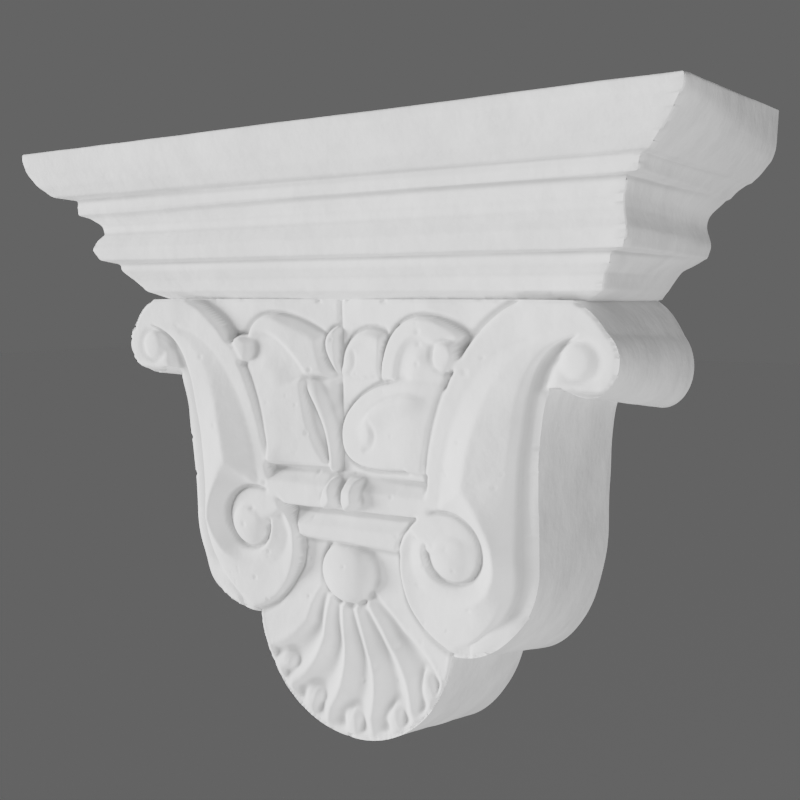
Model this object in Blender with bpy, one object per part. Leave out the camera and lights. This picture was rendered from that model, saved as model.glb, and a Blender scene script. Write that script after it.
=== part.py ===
"""Plaster console: a wall bracket cast in one piece.

A mitred cornice runs round three sides at the top. Under it two S-scrolls stand left and right of a
carved panel, with a small ledge, a ball and a fluted shell below. The back is flat against the wall.

The wall is the plane y = 0 and the front looks along -Y. X is to the viewer's right and Z is up, with
z = 0 on the line where the cornice meets the body.

The body is one drawing of depths: for each x and z on the front, how far the plaster stands off the
wall. The drawing has the real body's size, and BODY_HALF_WIDTH and BODY_HEIGHT stretch it.
"""
import math

import bmesh
import bpy
import numpy as np

# All sizes are in millimetres, and MM turns them into metres.
MM = 0.001

# Cornice: heights add up from the neck, and reaches add up inwards from the fascia
CORNICE_WIDTH = 420.0
CORNICE_DEPTH = 176.6
QUIRK_HEIGHT = 5.8
CAVETTO_HEIGHT = 15.5
BEAD_HEIGHT = 2.6
TORUS_HEIGHT = 20.0
SCOTIA_HEIGHT = 13.0
FILLET_HEIGHT = 3.4
STEP_HEIGHT = 3.2
OVOLO_HEIGHT = 20.5
FASCIA_HEIGHT = 7.7
TOP_RISE = 12.7
OVOLO_REACH = 20.5
STEP_REACH = 5.6
SCOTIA_REACH = 8.8
TORUS_REACH = 7.6
TORUS_BULGE = 5.8
TORUS_FULLNESS = 0.65
CAVETTO_REACH = 8.3
NECK_REACH = 13.2
LIP = 0.5
NECK_SINK = 9.0

# Body
DRAWN_HALF_WIDTH = 168.5
DRAWN_HEIGHT = 263.0
BODY_HALF_WIDTH = 168.5
BODY_HEIGHT = 263.0
BODY_DEPTH = 120.0
BODY_TOP = -1.5
FORWARD_LEAN = 0.06
LEAN_LEVEL = -100.0

# Upper volute: a round whose radius widens towards the shoulder under the cornice
VOLUTE_CENTRE = (150.0, -29.0)
VOLUTE_RADIUS = 18.5
VOLUTE_SHOULDER = 9.0
SHOULDER_ANGLES = (45.0, 100.0)
VOLUTE_END_ANGLE = -130.0
VOLUTE_DROP = 1.34
EYE_CENTRE = (147.5, -29.0)
EYE_RADIUS = 9.6

# Side and lower round of a scroll, at the front and at the wall
SIDE_X = 123.0
SIDE_X_WALL = 118.5
SIDE_START = 0.8
SIDE_START_WALL = 4.0
SIDE_FLARE = 7.5
SIDE_FLARE_WALL = 4.0
SIDE_FLARE_HEIGHT = 16.0
SIDE_FLARE_HEIGHT_WALL = 10.0
SIDE_STRAIGHT_Z = -100.0
SIDE_FOOT_OUT = 0.5
LOWER_Z = -140.0
LOWER_HALF_WIDTH = 52.5
LOWER_REACH = 57.0
LOWER_REACH_WALL = 91.0

# Lower volute: radius = start + rise * u + flare * u ** power, with u from 0 to 1 over the turn
CURL_CENTRE = (73.0, -139.0)
CURL_START = 17.0
CURL_RISE = 12.0
CURL_FLARE = 29.0
CURL_POWER = 3.2
CURL_FROM = -30.0
CURL_TURN = 300.0
CURL_INNER_END = -193.0
CURL_MEETS_GROOVE = 108.0
CURL_MEETS_EDGE = 123.0
CURL_MOUTH = 155.0
CURL_MEETS_DROP = 268.0

# Lines that divide the right-hand scroll, as four Bezier corners each
SCROLL_EDGE = ((113.0, 0.0), (84.0, -12.0), (57.0, -52.0), (56.0, -119.0))
SCROLL_GROOVE = ((124.0, -17.0), (88.0, -22.0), (66.0, -66.0), (65.0, -115.0))
DROP_HOOK = ((143.0, -16.0), (121.0, -24.0), (117.0, -38.0), (113.0, -70.0))
DROP_SIDE = ((113.0, -70.0), (109.0, -90.0), (109.0, -120.0), (110.0, -140.0))
DROP_FALL = ((110.0, -140.0), (110.0, -160.0), (101.0, -174.0), (84.0, -188.0))
RIM_LIP = ((145.0, -17.0), (136.0, -20.0), (135.0, -32.0), (130.0, -44.0))

# Heights above the scrolls' own front plane
FILLET_RAISE = 3.0
SHELF_RAISE = 4.5
RIM_SINK = 1.0
DROP_WIDTH = 4.0
CURL_RAISE = 6.0
CURL_EDGE_RAISE = 1.0
EYE_RAISE = 6.0
EYE_EDGE_RAISE = 4.0
LEVEL_X = (112.0, 130.0)
LEVEL_Z = (-22.0, -14.0)
RIM_RISE_Z = (-164.0, -186.0)
EYE_FIELD_Z = (-50.0, -40.0)

# The band of a scroll across its width, as heights at the inner line, the knee and the outer line,
# and the knee's share of the width; one column for each turn in degrees round the lower volute
BAND_TURNS = (0.0, 45.0, 90.0, 135.0, 170.0, 205.0)
BAND_INNER = (2.4, 1.0, 3.5, 5.5, 6.0, 4.5)
BAND_KNEE = (12.5, 9.0, 5.0, 2.0, 1.0, 2.0)
BAND_OUTER = (4.5, 4.5, 4.5, 4.0, 3.5, 3.5)
BAND_SHARE = (0.60, 0.50, 0.28, 0.50, 0.62, 0.62)
SHAFT_SHARE = 0.42
SHAFT_MERGE = 25.0
CREST_TOP = -22.0
CREST_FULL = -95.0

# Panel: its ground is a shallow fold with its valley on the crease line
PANEL_DEPTH = 113.5
PANEL_CREASE_X = -6.0
PANEL_SLOPE = 0.12
FALL_SLOPE = 0.2
FOLD_RIGHT = ((56.0, -18.0), (50.0, -40.0), (45.0, -60.0), (44.0, -100.0))
FLARE_DEPTH = 5.0
FLARE_X = (38.0, 58.0)
FLARE_Z = (-84.0, -108.0)

# Upper leaves: outer line, inner line of the rolled rim, and boss
RIGHT_LEAF = ((26.0, -44.0), (26.0, -7.0), (56.0, 1.0), (81.0, -17.5))
RIGHT_ROLL = ((37.0, -44.0), (37.0, -24.0), (50.0, -12.0), (63.0, -24.0))
LEFT_LEAF = ((74.0, -24.0), (66.0, 3.0), (34.0, -9.0), (17.0, -20.0))
LEFT_LEAF_SIDE = ((17.0, -20.0), (16.0, -28.0), (14.0, -36.0), (9.0, -44.0))
LEFT_ROLL = ((66.0, -22.0), (56.0, -10.0), (38.0, -29.0), (27.0, -45.0))
LEAF_RAISE = 4.5
ROLL_RAISE = 1.4
ROLL_WIDTH = 14.0
BOSS_CENTRE = (71.0, -29.5)
BOSS_LEFT_SHIFT = 4.0
BOSS_RADIUS = 8.3
BOSS_RAISE = 1.5
STEP_Z = -44.0

# Lobe right of the crease line, with a fold inside it
LOBE_TOP = ((52.0, -43.0), (17.0, -44.0), (-3.0, -60.0), (-3.5, -77.0))
LOBE_FOOT = ((-3.5, -77.0), (-3.5, -97.0), (12.0, -99.0), (44.0, -95.0))
LOBE_RAISE = 4.5
LOBE_FOLD = ((46.0, -52.0), (30.0, -55.0), (19.0, -61.0), (11.0, -72.0))
LOBE_FOLD_RAISE = 1.3

# Left of the crease line: the lower edge of the leaf, and a strand that crosses down to the crease
LEAF_EDGE = ((30.0, -44.0), (29.0, -62.0), (25.0, -86.0), (9.0, -98.0))
STRAND_LINE = ((28.0, -45.0), (22.0, -56.0), (9.5, -70.0), (9.5, -99.0))
STRAND_WIDTHS = (9.0, 6.5)
STRAND_RAISE = 5.5

# Bud across the crease line
BUD_LEFT = ((5.0, -14.0), (18.0, -15.0), (21.0, -30.0), (6.0, -46.0))
BUD_RIGHT = ((-5.0, -36.0), (-3.0, -22.0), (11.0, -10.0), (28.0, -17.0))
BUD_CLOSING = ((27.0, -30.0), (26.0, -42.0), (12.0, -44.0), (-5.0, -43.0))
BUD_RAISE = 5.0

# Ledge with its two hanging leaf tips, recess and bulged moulding
LEDGE_HALF_WIDTH = 47.0
LEDGE_TOP = -100.5
LEDGE_EDGE = -110.0
LEDGE_FOOT = -123.0
RECESS_FOOT = -132.5
MOULDING_FOOT = -145.0
LEDGE_DEPTH = 122.3
RECESS_DEPTH = 113.0
MOULDING_DEPTH = 118.5
BORDER_DEPTH = 117.0
BORDER_MERGE = 4.0
LEFT_TIP = ((-9.0, -103.5), (-4.5, -103.5), (-2.0, -117.0), (-12.0, -123.5), (-15.0, -118.0))
RIGHT_TIP = ((2.0, -103.5), (12.0, -102.5), (13.5, -117.0), (4.0, -123.5), (0.5, -117.0))
TIP_RAISE = 4.0
TIP_TILT = 0.3

# Ball and shell
BALL_CENTRE = (-1.0, -161.5)
BALL_RADIUS = 19.0
BALL_RAISE = 11.0
SHELL_Z = -190.0
SHELL_HALF_WIDTH = 71.0
SHELL_REACH = 73.0
SHELL_HALF_WIDTH_WALL = 67.0
SHELL_REACH_WALL = 105.0
SHELL_ANGLE = 6.0
SHELL_ANGLE_WALL = 24.0
SHELL_DEPTH = 112.0
SHELL_RIM_DEPTH = 116.5
SHELL_SIDE_SINK = 1.5
RIM_TOP_Z = -180.0
FAN_Z = -160.0
FAN_MERGE_Z = (-176.0, -162.0)
FAN_SPREAD = 0.4
FAN_SPREAD_END = 48.0
FAN_SWAY = math.radians(6.0)
FAN_SWAY_RADII = (22.0, 90.0)
FLUTE_PITCH = math.radians(19.5)
FLUTE_COUNT = 5
FLUTE_DEPTH = 6.0
FLUTE_FULL_RADIUS = 55.0
FLUTE_RIM = 4.0
TONGUE_RADIUS = 9.0
TONGUE_RAISE = 3.0
TONGUE_IN = 9.0

# Mesh
SOFT = 2.0
GRID_STEP = 1.4
KEEP_SHARE = 0.068
CURVE_STEPS = 14
LOFT_BEYOND = 40.0
SLAB_MARGIN = 12.0
BEHIND = 5.0
FAR = 300.0


def bezier(corners, steps=CURVE_STEPS):
    """Points on a cubic Bezier curve: corners weighted (1-t)^3, 3t(1-t)^2, 3t^2(1-t) and t^3."""
    t = np.linspace(0.0, 1.0, steps + 1)[:, None]
    weights = ((1 - t) ** 3, 3 * t * (1 - t) ** 2, 3 * t * t * (1 - t), t ** 3)
    return sum(weight * np.array(corner) for weight, corner in zip(weights, corners))


def distance(path, x, z):
    """Shortest distance from each (x, z) to an open line of points."""
    best = np.full(x.shape, np.inf)
    for start, end in zip(path[:-1], path[1:]):
        run = end - start
        share = ((x - start[0]) * run[0] + (z - start[1]) * run[1]) / max(run @ run, 1e-9)
        share = np.clip(share, 0.0, 1.0)
        gap = np.hypot(x - start[0] - share * run[0], z - start[1] - share * run[1])
        best = np.minimum(best, gap)
    return best


def inside(outline, x, z):
    """True where (x, z) lies inside a closed outline, by counting crossings to the right."""
    result = np.zeros(x.shape, bool)
    for start, end in zip(outline, np.roll(outline, -1, axis=0)):
        rise = end[1] - start[1]
        if rise == 0.0:
            continue
        crosses = (start[1] > z) != (end[1] > z)
        result ^= crosses & (x < start[0] + (z - start[1]) * (end[0] - start[0]) / rise)
    return result


def reach_in(path, closing, x, z):
    """Distance into a region bounded by a line and plain closing points; negative outside it."""
    region = inside(np.concatenate([path, np.reshape(closing, (-1, 2))]), x, z)
    return np.where(region, 1.0, -1.0) * distance(path, x, z)


def smooth(value, low, high):
    """A soft step from 0 at low to 1 at high."""
    t = np.clip((value - low) / (high - low), 0.0, 1.0)
    return t * t * (3.0 - 2.0 * t)


def mix(first, second, share):
    """The first value where share is 0 and the second where it is 1."""
    return first + (second - first) * share


def dome(share):
    """Height of a round dome of height 1, at a share of its radius."""
    return np.sqrt(np.clip(1.0 - share ** 2, 0.0, 1.0))


def curl_radius(angle):
    """Radius of the lower volute's line at an angle in degrees: even at first, then widening."""
    turn = np.clip((angle - CURL_FROM) / CURL_TURN, 0.0, None)
    return CURL_START + CURL_RISE * turn + CURL_FLARE * turn ** CURL_POWER


def curl(first, last, steps=26):
    """The lower volute's line between two angles in degrees."""
    angle = np.linspace(first, last, steps + 1)
    turn = np.radians(angle)
    around = np.stack([np.cos(turn), np.sin(turn)], axis=-1)
    return np.array(CURL_CENTRE) + curl_radius(angle)[:, None] * around


def volute_outline():
    """Outline of the upper volute, from its shoulder under the cornice round to its underside."""
    low, high = SHOULDER_ANGLES
    angle = np.linspace(high, VOLUTE_END_ANGLE, 2 * CURVE_STEPS)
    radius = VOLUTE_RADIUS + VOLUTE_SHOULDER * np.clip((angle - low) / (high - low), 0.0, 1.0) ** 1.6
    turn = np.radians(angle)
    outline = np.array(VOLUTE_CENTRE) + radius[:, None] * np.stack([np.cos(turn), np.sin(turn)], axis=-1)
    outline[:, 1] = np.minimum(outline[:, 1], BODY_TOP)
    return outline


def ellipse(centre, half_width, reach, first, last, steps=CURVE_STEPS):
    """A stretch of an ellipse below its centre, between two angles in degrees from the +X side."""
    turn = np.radians(np.linspace(first, last, steps + 1))
    return np.array(centre) + np.stack([half_width * np.cos(turn), -reach * np.sin(turn)], axis=-1)


def half_outlines():
    """The body's right half outline at the front plane and at the wall, point for point."""
    top = np.array([(0.0, BODY_TOP), (SIDE_X / 2, BODY_TOP), (SIDE_X, BODY_TOP)])
    volute = volute_outline()
    volute_wall = volute.copy()
    volute_wall[:, 1] = mix(BODY_TOP, volute[:, 1], VOLUTE_DROP)
    low = volute[-1, 1] - SIDE_START
    low_wall = volute_wall[-1, 1] - SIDE_START_WALL
    foot = SIDE_X + SIDE_FOOT_OUT
    side = bezier(((SIDE_X + SIDE_FLARE, low), (SIDE_X - SIDE_FOOT_OUT, low - SIDE_FLARE_HEIGHT),
                   (SIDE_X - SIDE_FOOT_OUT, SIDE_STRAIGHT_Z), (foot, LOWER_Z)), 8)
    side_wall = bezier(((SIDE_X_WALL + SIDE_FLARE_WALL, low_wall),
                        (SIDE_X_WALL, low_wall - SIDE_FLARE_HEIGHT_WALL),
                        (SIDE_X_WALL, SIDE_STRAIGHT_Z), (SIDE_X_WALL, LOWER_Z)), 8)
    lower = ellipse((foot - LOWER_HALF_WIDTH, LOWER_Z), LOWER_HALF_WIDTH, LOWER_REACH, 0, 90)[1:]
    lower_wall = ellipse((SIDE_X_WALL - LOWER_HALF_WIDTH, LOWER_Z), LOWER_HALF_WIDTH, LOWER_REACH_WALL,
                         0, 90)[1:]
    shell = ellipse((0.0, SHELL_Z), SHELL_HALF_WIDTH, SHELL_REACH, SHELL_ANGLE, 90)
    shell_wall = ellipse((0.0, SHELL_Z), SHELL_HALF_WIDTH_WALL, SHELL_REACH_WALL, SHELL_ANGLE_WALL, 90)
    stretch = (BODY_HALF_WIDTH / DRAWN_HALF_WIDTH, BODY_HEIGHT / DRAWN_HEIGHT)
    front = np.concatenate([top, volute, side, lower, shell]) * stretch
    wall = np.concatenate([top, volute_wall, side_wall, lower_wall, shell_wall]) * stretch
    return front, wall


def drop_line():
    """The top edge of the wall where a scroll's face drops to its outer rim."""
    return np.concatenate([bezier(DROP_HOOK, 8), bezier(DROP_SIDE, 6)[1:], bezier(DROP_FALL, 8)[1:]])


def band_height(x, z):
    """The band that runs down a scroll and twists round its lower volute, and where it lies.

    Across its width the height goes straight from the inner line to the knee and on to the outer
    line. Down the shaft the knee is a crest; round the volute it sinks and becomes a valley.
    """
    inner = np.concatenate([bezier(SCROLL_GROOVE), curl(CURL_MEETS_GROOVE, CURL_INNER_END)])
    outer = np.concatenate([drop_line(), curl(CURL_MOUTH, CURL_MEETS_DROP)[::-1]])
    here = inside(np.concatenate([inner, outer[::-1]]), x, z)
    to_inner = distance(inner, x, z)
    share = to_inner / np.maximum(to_inner + distance(outer, x, z), 1e-6)
    angle = np.degrees(np.arctan2(z - CURL_CENTRE[1], x - CURL_CENTRE[0]))
    turned = np.where((angle >= 0.0) & (angle < CURL_MOUTH), 0.0, np.mod(-angle, 360.0))
    start, knee, end, place = (np.interp(turned, BAND_TURNS, row)
                               for row in (BAND_INNER, BAND_KNEE, BAND_OUTER, BAND_SHARE))
    shaft = smooth(z, CURL_CENTRE[1], CURL_CENTRE[1] + SHAFT_MERGE) * (turned == 0.0)
    place = mix(place, SHAFT_SHARE, shaft)
    knee = mix(knee, SHELF_RAISE, smooth(z, CREST_FULL, CREST_TOP))
    rising = mix(start, knee, share / place)
    falling = mix(knee, end, (share - place) / (1.0 - place))
    return np.where(share < place, rising, falling), here


def curl_height(x, z):
    """The round end of the lower volute, open to the band at its upper left, and where it lies."""
    across = x - CURL_CENTRE[0]
    up = z - CURL_CENTRE[1]
    angle = np.degrees(np.arctan2(up, across))
    share = np.hypot(across, up) / curl_radius(np.where(angle > CURL_MOUTH, angle - 360.0, angle))
    edge = mix(CURL_EDGE_RAISE, BAND_INNER[-1], smooth(angle, CURL_MEETS_GROOVE, CURL_MOUTH))
    end = inside(curl(CURL_INNER_END, CURL_MOUTH), x, z)
    return mix(CURL_RAISE, edge, np.clip(share, 0.0, 1.0) ** 2.2), end


def scroll_height(x, z):
    """Height of a scroll above its front plane, at drawing points (x, z) on the right half."""
    band, in_band = band_height(x, z)
    disc, in_disc = curl_height(x, z)
    height = np.where(in_band, band, np.where(in_disc, disc, FILLET_RAISE))
    height = mix(height, SHELF_RAISE, smooth(z, *LEVEL_Z) * smooth(x, *LEVEL_X))
    drop = drop_line()
    lip = bezier(RIM_LIP, 8)
    beyond = x > np.interp(-z, -drop[:, 1], drop[:, 0])
    past_drop = np.where(beyond, 1.0, -1.0) * distance(drop, x, z)
    past_lip = np.where(z > lip[-1, 1], x - np.interp(-z, -lip[:, 1], lip[:, 0]), -DROP_WIDTH)
    rim = mix(-RIM_SINK, SHELF_RAISE, smooth(z, *RIM_RISE_Z))
    face = mix(height, SHELF_RAISE, smooth(past_drop, -LIP, LIP) * smooth(z, *EYE_FIELD_Z))
    on_rim = smooth(past_drop, 0.0, DROP_WIDTH) * (1 - smooth(past_lip, 0.0, SOFT)) * (z < DROP_HOOK[0][1])
    height = mix(face, rim, on_rim)
    from_eye = np.hypot(x - EYE_CENTRE[0], z - EYE_CENTRE[1])
    eye = mix(EYE_EDGE_RAISE, EYE_RAISE, dome(from_eye / EYE_RADIUS))
    return np.where(from_eye < EYE_RADIUS, eye, height)


def right_panel(x, z):
    """Rise of the forms right of the crease line: upper leaf, boss, lobe and the bud's right petal."""
    fold = np.interp(-z, -bezier(FOLD_RIGHT)[:, 1], bezier(FOLD_RIGHT)[:, 0])
    fall = np.clip((x - fold) * FALL_SLOPE, 0.0, LEAF_RAISE)
    leaf = smooth(reach_in(bezier(RIGHT_LEAF), ((BOSS_CENTRE[0], STEP_Z),), x, z), 0.0, SOFT) * LEAF_RAISE
    roll = reach_in(bezier(RIGHT_ROLL), ((RIGHT_ROLL[3][0], STEP_Z),), x, z)
    leaf = leaf - ROLL_RAISE * smooth(roll, -SOFT / 2, SOFT) * (1.0 - smooth(roll, SOFT, ROLL_WIDTH)) - fall
    from_boss = np.hypot(x - BOSS_CENTRE[0], z - BOSS_CENTRE[1]) / BOSS_RADIUS
    boss = LEAF_RAISE + BOSS_RAISE * dome(from_boss)
    outline = np.concatenate([bezier(LOBE_TOP), bezier(LOBE_FOOT)[1:]])
    closing = ((FAR, LOBE_FOOT[3][1]), (FAR, LOBE_TOP[0][1]))
    lobe = smooth(reach_in(outline, closing, x, z), 0.0, SOFT) * LOBE_RAISE
    closing = ((LOBE_FOLD[3][0], -FAR), (FAR, -FAR), (FAR, LOBE_FOLD[0][1]))
    over = reach_in(bezier(LOBE_FOLD), closing, x, z)
    over = smooth(over, -SOFT / 2, SOFT) * (1.0 - smooth(over, SOFT, ROLL_WIDTH))
    lobe = lobe + LOBE_FOLD_RAISE * over - fall
    bud = smooth(reach_in(bezier(BUD_RIGHT), BUD_CLOSING, x, z), 0.0, 1.5 * SOFT) * BUD_RAISE
    bud = bud * mix(0.35, 1.0, smooth(z, STEP_Z, BUD_LEFT[1][1]))
    forms = np.where(z < STEP_Z, lobe, np.maximum(leaf, bud))
    return np.where(from_boss < 1.0, np.maximum(forms, boss), forms)


def left_panel(x, z):
    """Rise of the forms left of the crease line, by distance x: leaf, boss, strand and left petal."""
    outline = np.concatenate([bezier(LEFT_LEAF), bezier(LEFT_LEAF_SIDE)[1:]])
    upper = smooth(reach_in(outline, ((LEFT_LEAF[0][0], STEP_Z),), x, z), 0.0, 1.5 * SOFT)
    closing = ((FAR, LEAF_EDGE[3][1]), (FAR, STEP_Z))
    lower = smooth(reach_in(bezier(LEAF_EDGE), closing, x, z), 0.0, SOFT)
    roll = reach_in(bezier(LEFT_ROLL), ((LEFT_ROLL[0][0], -FAR),), x, z)
    inner = ROLL_RAISE * smooth(roll, -SOFT / 2, SOFT) * (1.0 - smooth(roll, SOFT, ROLL_WIDTH))
    leaf = np.where(z > STEP_Z, upper, lower) * LEAF_RAISE - inner
    from_boss = np.hypot(x - BOSS_CENTRE[0] - BOSS_LEFT_SHIFT, z - BOSS_CENTRE[1]) / BOSS_RADIUS
    forms = np.where(from_boss < 1.0, np.maximum(leaf, LEAF_RAISE + BOSS_RAISE * dome(from_boss)), leaf)
    top, foot = STRAND_LINE[0][1], STRAND_LINE[3][1]
    width = mix(*STRAND_WIDTHS, smooth(z, top, foot))
    share = distance(bezier(STRAND_LINE), x, z) / (width / 2)
    strand = STRAND_RAISE * dome(share) * mix(0.3, 1.0, smooth(z, top, top + 0.3 * (foot - top)))
    forms = np.where(z < STEP_Z, np.maximum(forms, strand), forms)
    bud = smooth(reach_in(bezier(BUD_LEFT), (), x, z), 0.0, 1.5 * SOFT) * BUD_RAISE
    bud = bud * mix(0.5, 1.0, smooth(z, STEP_Z, BUD_LEFT[1][1]))
    return np.maximum(forms, bud)


def panel_depth(x, z, side):
    """Depth of the panel: its folded ground with the forms on either side of the crease line."""
    ground = PANEL_DEPTH + PANEL_SLOPE * np.abs(side * x - PANEL_CREASE_X)
    flare = FLARE_DEPTH * smooth(x, *FLARE_X) * smooth(z, *FLARE_Z) * (side < 0)
    forms = np.where(side * x > PANEL_CREASE_X, right_panel(side * x, z), left_panel(x, z))
    return ground + forms + flare


def tip_rise(x, z):
    """The two leaf tips that hang over the ledge, each tilted to the left; x is signed here."""
    rise = np.zeros(x.shape)
    for corners in (LEFT_TIP, RIGHT_TIP):
        outline = np.array(corners + corners[:1])
        tilt = TIP_TILT * (x - outline[:, 0].mean())
        rise = np.maximum(rise, smooth(reach_in(outline, (), x, z), 0.0, SOFT) * (TIP_RAISE + tilt))
    return rise


def ledge_depth(x, z, side):
    """Depth of the ledge with its tips, the recess that slopes out below it and the moulding."""
    levels = (LEDGE_TOP, LEDGE_EDGE, LEDGE_FOOT, LEDGE_FOOT - LIP, RECESS_FOOT, RECESS_FOOT - SOFT,
              MOULDING_FOOT + 1.5 * SOFT, MOULDING_FOOT)
    depths = (PANEL_DEPTH, LEDGE_DEPTH, LEDGE_DEPTH - LIP, RECESS_DEPTH, MOULDING_DEPTH - 3 * LIP,
              MOULDING_DEPTH, MOULDING_DEPTH, SHELL_DEPTH + 2 * LIP)
    depth = np.interp(-z, [-level for level in levels], depths)
    border = np.where(z > LEDGE_FOOT - LIP, depth, BORDER_DEPTH)
    depth = mix(depth, border, smooth(x, LEDGE_HALF_WIDTH - BORDER_MERGE, LEDGE_HALF_WIDTH + BORDER_MERGE))
    return depth + tip_rise(side * x, z)


def shell_depth(x, z, side):
    """Depth of the ball and of the fan of hollow flutes, whose arrises spread and sway; its rim is plain."""
    edge = np.hypot(x / SHELL_HALF_WIDTH, (z - SHELL_Z) / SHELL_REACH)
    to_edge = (1 - edge) * SHELL_REACH
    radius = np.hypot(x, z - FAN_Z)
    spread = 1 - FAN_SPREAD * np.clip(1 - radius / FAN_SPREAD_END, 0.0, 1.0)
    near, far = FAN_SWAY_RADII
    sway = FAN_SWAY * np.sin(math.pi * np.clip((radius - near) / (far - near), 0.0, 1.0))
    angle = (np.arctan2(side * x, FAN_Z - z) - sway) * spread
    off_middle = 2 * np.mod(angle / FLUTE_PITCH + FLUTE_COUNT / 2, 1.0) - 1
    in_fan = np.abs(angle) < FLUTE_COUNT / 2 * FLUTE_PITCH
    hollow = FLUTE_DEPTH * (1 - np.abs(off_middle) ** 1.7)
    hollow = hollow * mix(0.5, 1.0, smooth(radius, BALL_RADIUS, FLUTE_FULL_RADIUS))
    tongue = np.hypot(to_edge - TONGUE_IN, off_middle * FLUTE_PITCH / 2 * radius) / TONGUE_RADIUS
    swell = FLUTE_DEPTH - SHELL_SIDE_SINK - TONGUE_RAISE * dome(tongue)
    hollow = np.where(tongue < 1.0, np.minimum(hollow, swell), hollow)
    fan = SHELL_RIM_DEPTH - np.where(in_fan, hollow, SHELL_SIDE_SINK)
    rim = (1 - smooth(to_edge, LIP, FLUTE_RIM)) * (z < RIM_TOP_Z)
    depth = mix(fan, SHELL_RIM_DEPTH - 2 * LIP, rim)
    depth = mix(depth, SHELL_DEPTH, smooth(z, *FAN_MERGE_Z))
    ball = np.hypot(side * x - BALL_CENTRE[0], z - BALL_CENTRE[1]) / BALL_RADIUS
    return np.where(ball < 1.0, np.maximum(depth, SHELL_DEPTH + BALL_RAISE * dome(ball)), depth)


def relief(x, z):
    """Depth of the carved front, measured from the wall, at the body's own x and z."""
    side = np.where(x < 0, -1.0, 1.0)
    x = np.abs(x) * DRAWN_HALF_WIDTH / BODY_HALF_WIDTH
    z = z * DRAWN_HEIGHT / BODY_HEIGHT
    depth = np.where(z > LEDGE_TOP, panel_depth(x, z, side), ledge_depth(x, z, side))
    depth = np.where(z < MOULDING_FOOT, shell_depth(x, z, side), depth)
    border = np.concatenate([bezier(SCROLL_EDGE), curl(CURL_MEETS_EDGE, 270)])
    closing = ((CURL_CENTRE[0], -FAR), (FAR, -FAR), (FAR, FAR), (SCROLL_EDGE[0][0], FAR))
    deep = reach_in(border, closing, x, z)
    front_plane = BODY_DEPTH + FORWARD_LEAN * (z - LEAN_LEVEL)
    scroll = front_plane + scroll_height(x, z)
    return mix(depth, scroll, smooth(deep, -0.3 * SOFT, 0.7 * SOFT))


def new_object(name, bm, collection):
    """An object made from a bmesh with its faces turned outwards, linked into a collection."""
    bmesh.ops.recalc_face_normals(bm, faces=bm.faces)
    mesh = bpy.data.meshes.new(name)
    bm.to_mesh(mesh)
    bm.free()
    item = bpy.data.objects.new(name, mesh)
    collection.objects.link(item)
    return item


def hollow(inner, foot, outer, top):
    """A hollow quarter round from a low inner point to a high outer point."""
    turns = [math.radians(a) for a in (90, 72, 54, 36, 18, 0)]
    return [(mix(outer, inner, math.sin(a)), mix(top, foot, 1 - math.cos(a))) for a in turns]


def swelling(inner, foot, outer, top):
    """A full quarter round from a low inner point to a high outer point."""
    turns = [math.radians(a) for a in (90, 72, 54, 36, 18, 0)]
    return [(mix(outer, inner, 1 - math.cos(a)), mix(top, foot, math.sin(a))) for a in turns]


def cornice_rows():
    """The cornice's profile from the neck up, as pairs of inset from the fascia and height."""
    step_in = OVOLO_REACH
    scotia_in = step_in + STEP_REACH
    torus_in = scotia_in + SCOTIA_REACH
    bead_in = torus_in + TORUS_REACH
    cavetto_in = bead_in + CAVETTO_REACH
    neck_in = cavetto_in + NECK_REACH
    bead = QUIRK_HEIGHT + CAVETTO_HEIGHT
    torus = bead + BEAD_HEIGHT
    scotia = torus + TORUS_HEIGHT
    fillet = scotia + SCOTIA_HEIGHT
    step = fillet + FILLET_HEIGHT
    ovolo = step + STEP_HEIGHT
    fascia = ovolo + OVOLO_HEIGHT
    rows = [(neck_in, -NECK_SINK), (neck_in, QUIRK_HEIGHT - LIP)]
    rows += hollow(cavetto_in, QUIRK_HEIGHT, bead_in + 2 * LIP, bead)
    rows += [(bead_in, bead + LIP), (bead_in, torus)]
    bulge_in = torus_in - TORUS_BULGE
    full_at = mix(torus, scotia, TORUS_FULLNESS)
    bulge = ((bead_in, torus), (bulge_in, torus + 2 * LIP), (bulge_in, full_at), (torus_in, scotia))
    rows += [tuple(point) for point in bezier(bulge, 6)[1:-1]]
    rows += hollow(torus_in, scotia, scotia_in + 2 * LIP, fillet)
    rows += [(scotia_in + LIP, fillet + LIP), (scotia_in, step - LIP), (step_in + LIP, step)]
    rows += swelling(step_in, ovolo, 0.0, fascia)
    rows.append((0.0, fascia + FASCIA_HEIGHT))
    return rows


def make_cornice(collection):
    """The cornice: a rectangle against the wall, raised row by row along its profile."""
    rows = cornice_rows()
    bm = bmesh.new()
    ring = []
    for inset, height in rows:
        side = CORNICE_WIDTH / 2 - inset
        front = inset - CORNICE_DEPTH
        at_wall = height + (TOP_RISE if height == rows[-1][1] else 0.0)
        plan = ((-side, 0.0, at_wall), (side, 0.0, at_wall), (side, front, height), (-side, front, height))
        upper = [bm.verts.new([size * MM for size in corner]) for corner in plan]
        if ring:
            for a in range(4):
                b = (a + 1) % 4
                bm.faces.new((ring[a], ring[b], upper[b], upper[a]))
        else:
            bm.faces.new(upper[::-1])
        ring = upper
    bm.faces.new(ring)
    return new_object("cornice", bm, collection)


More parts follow.
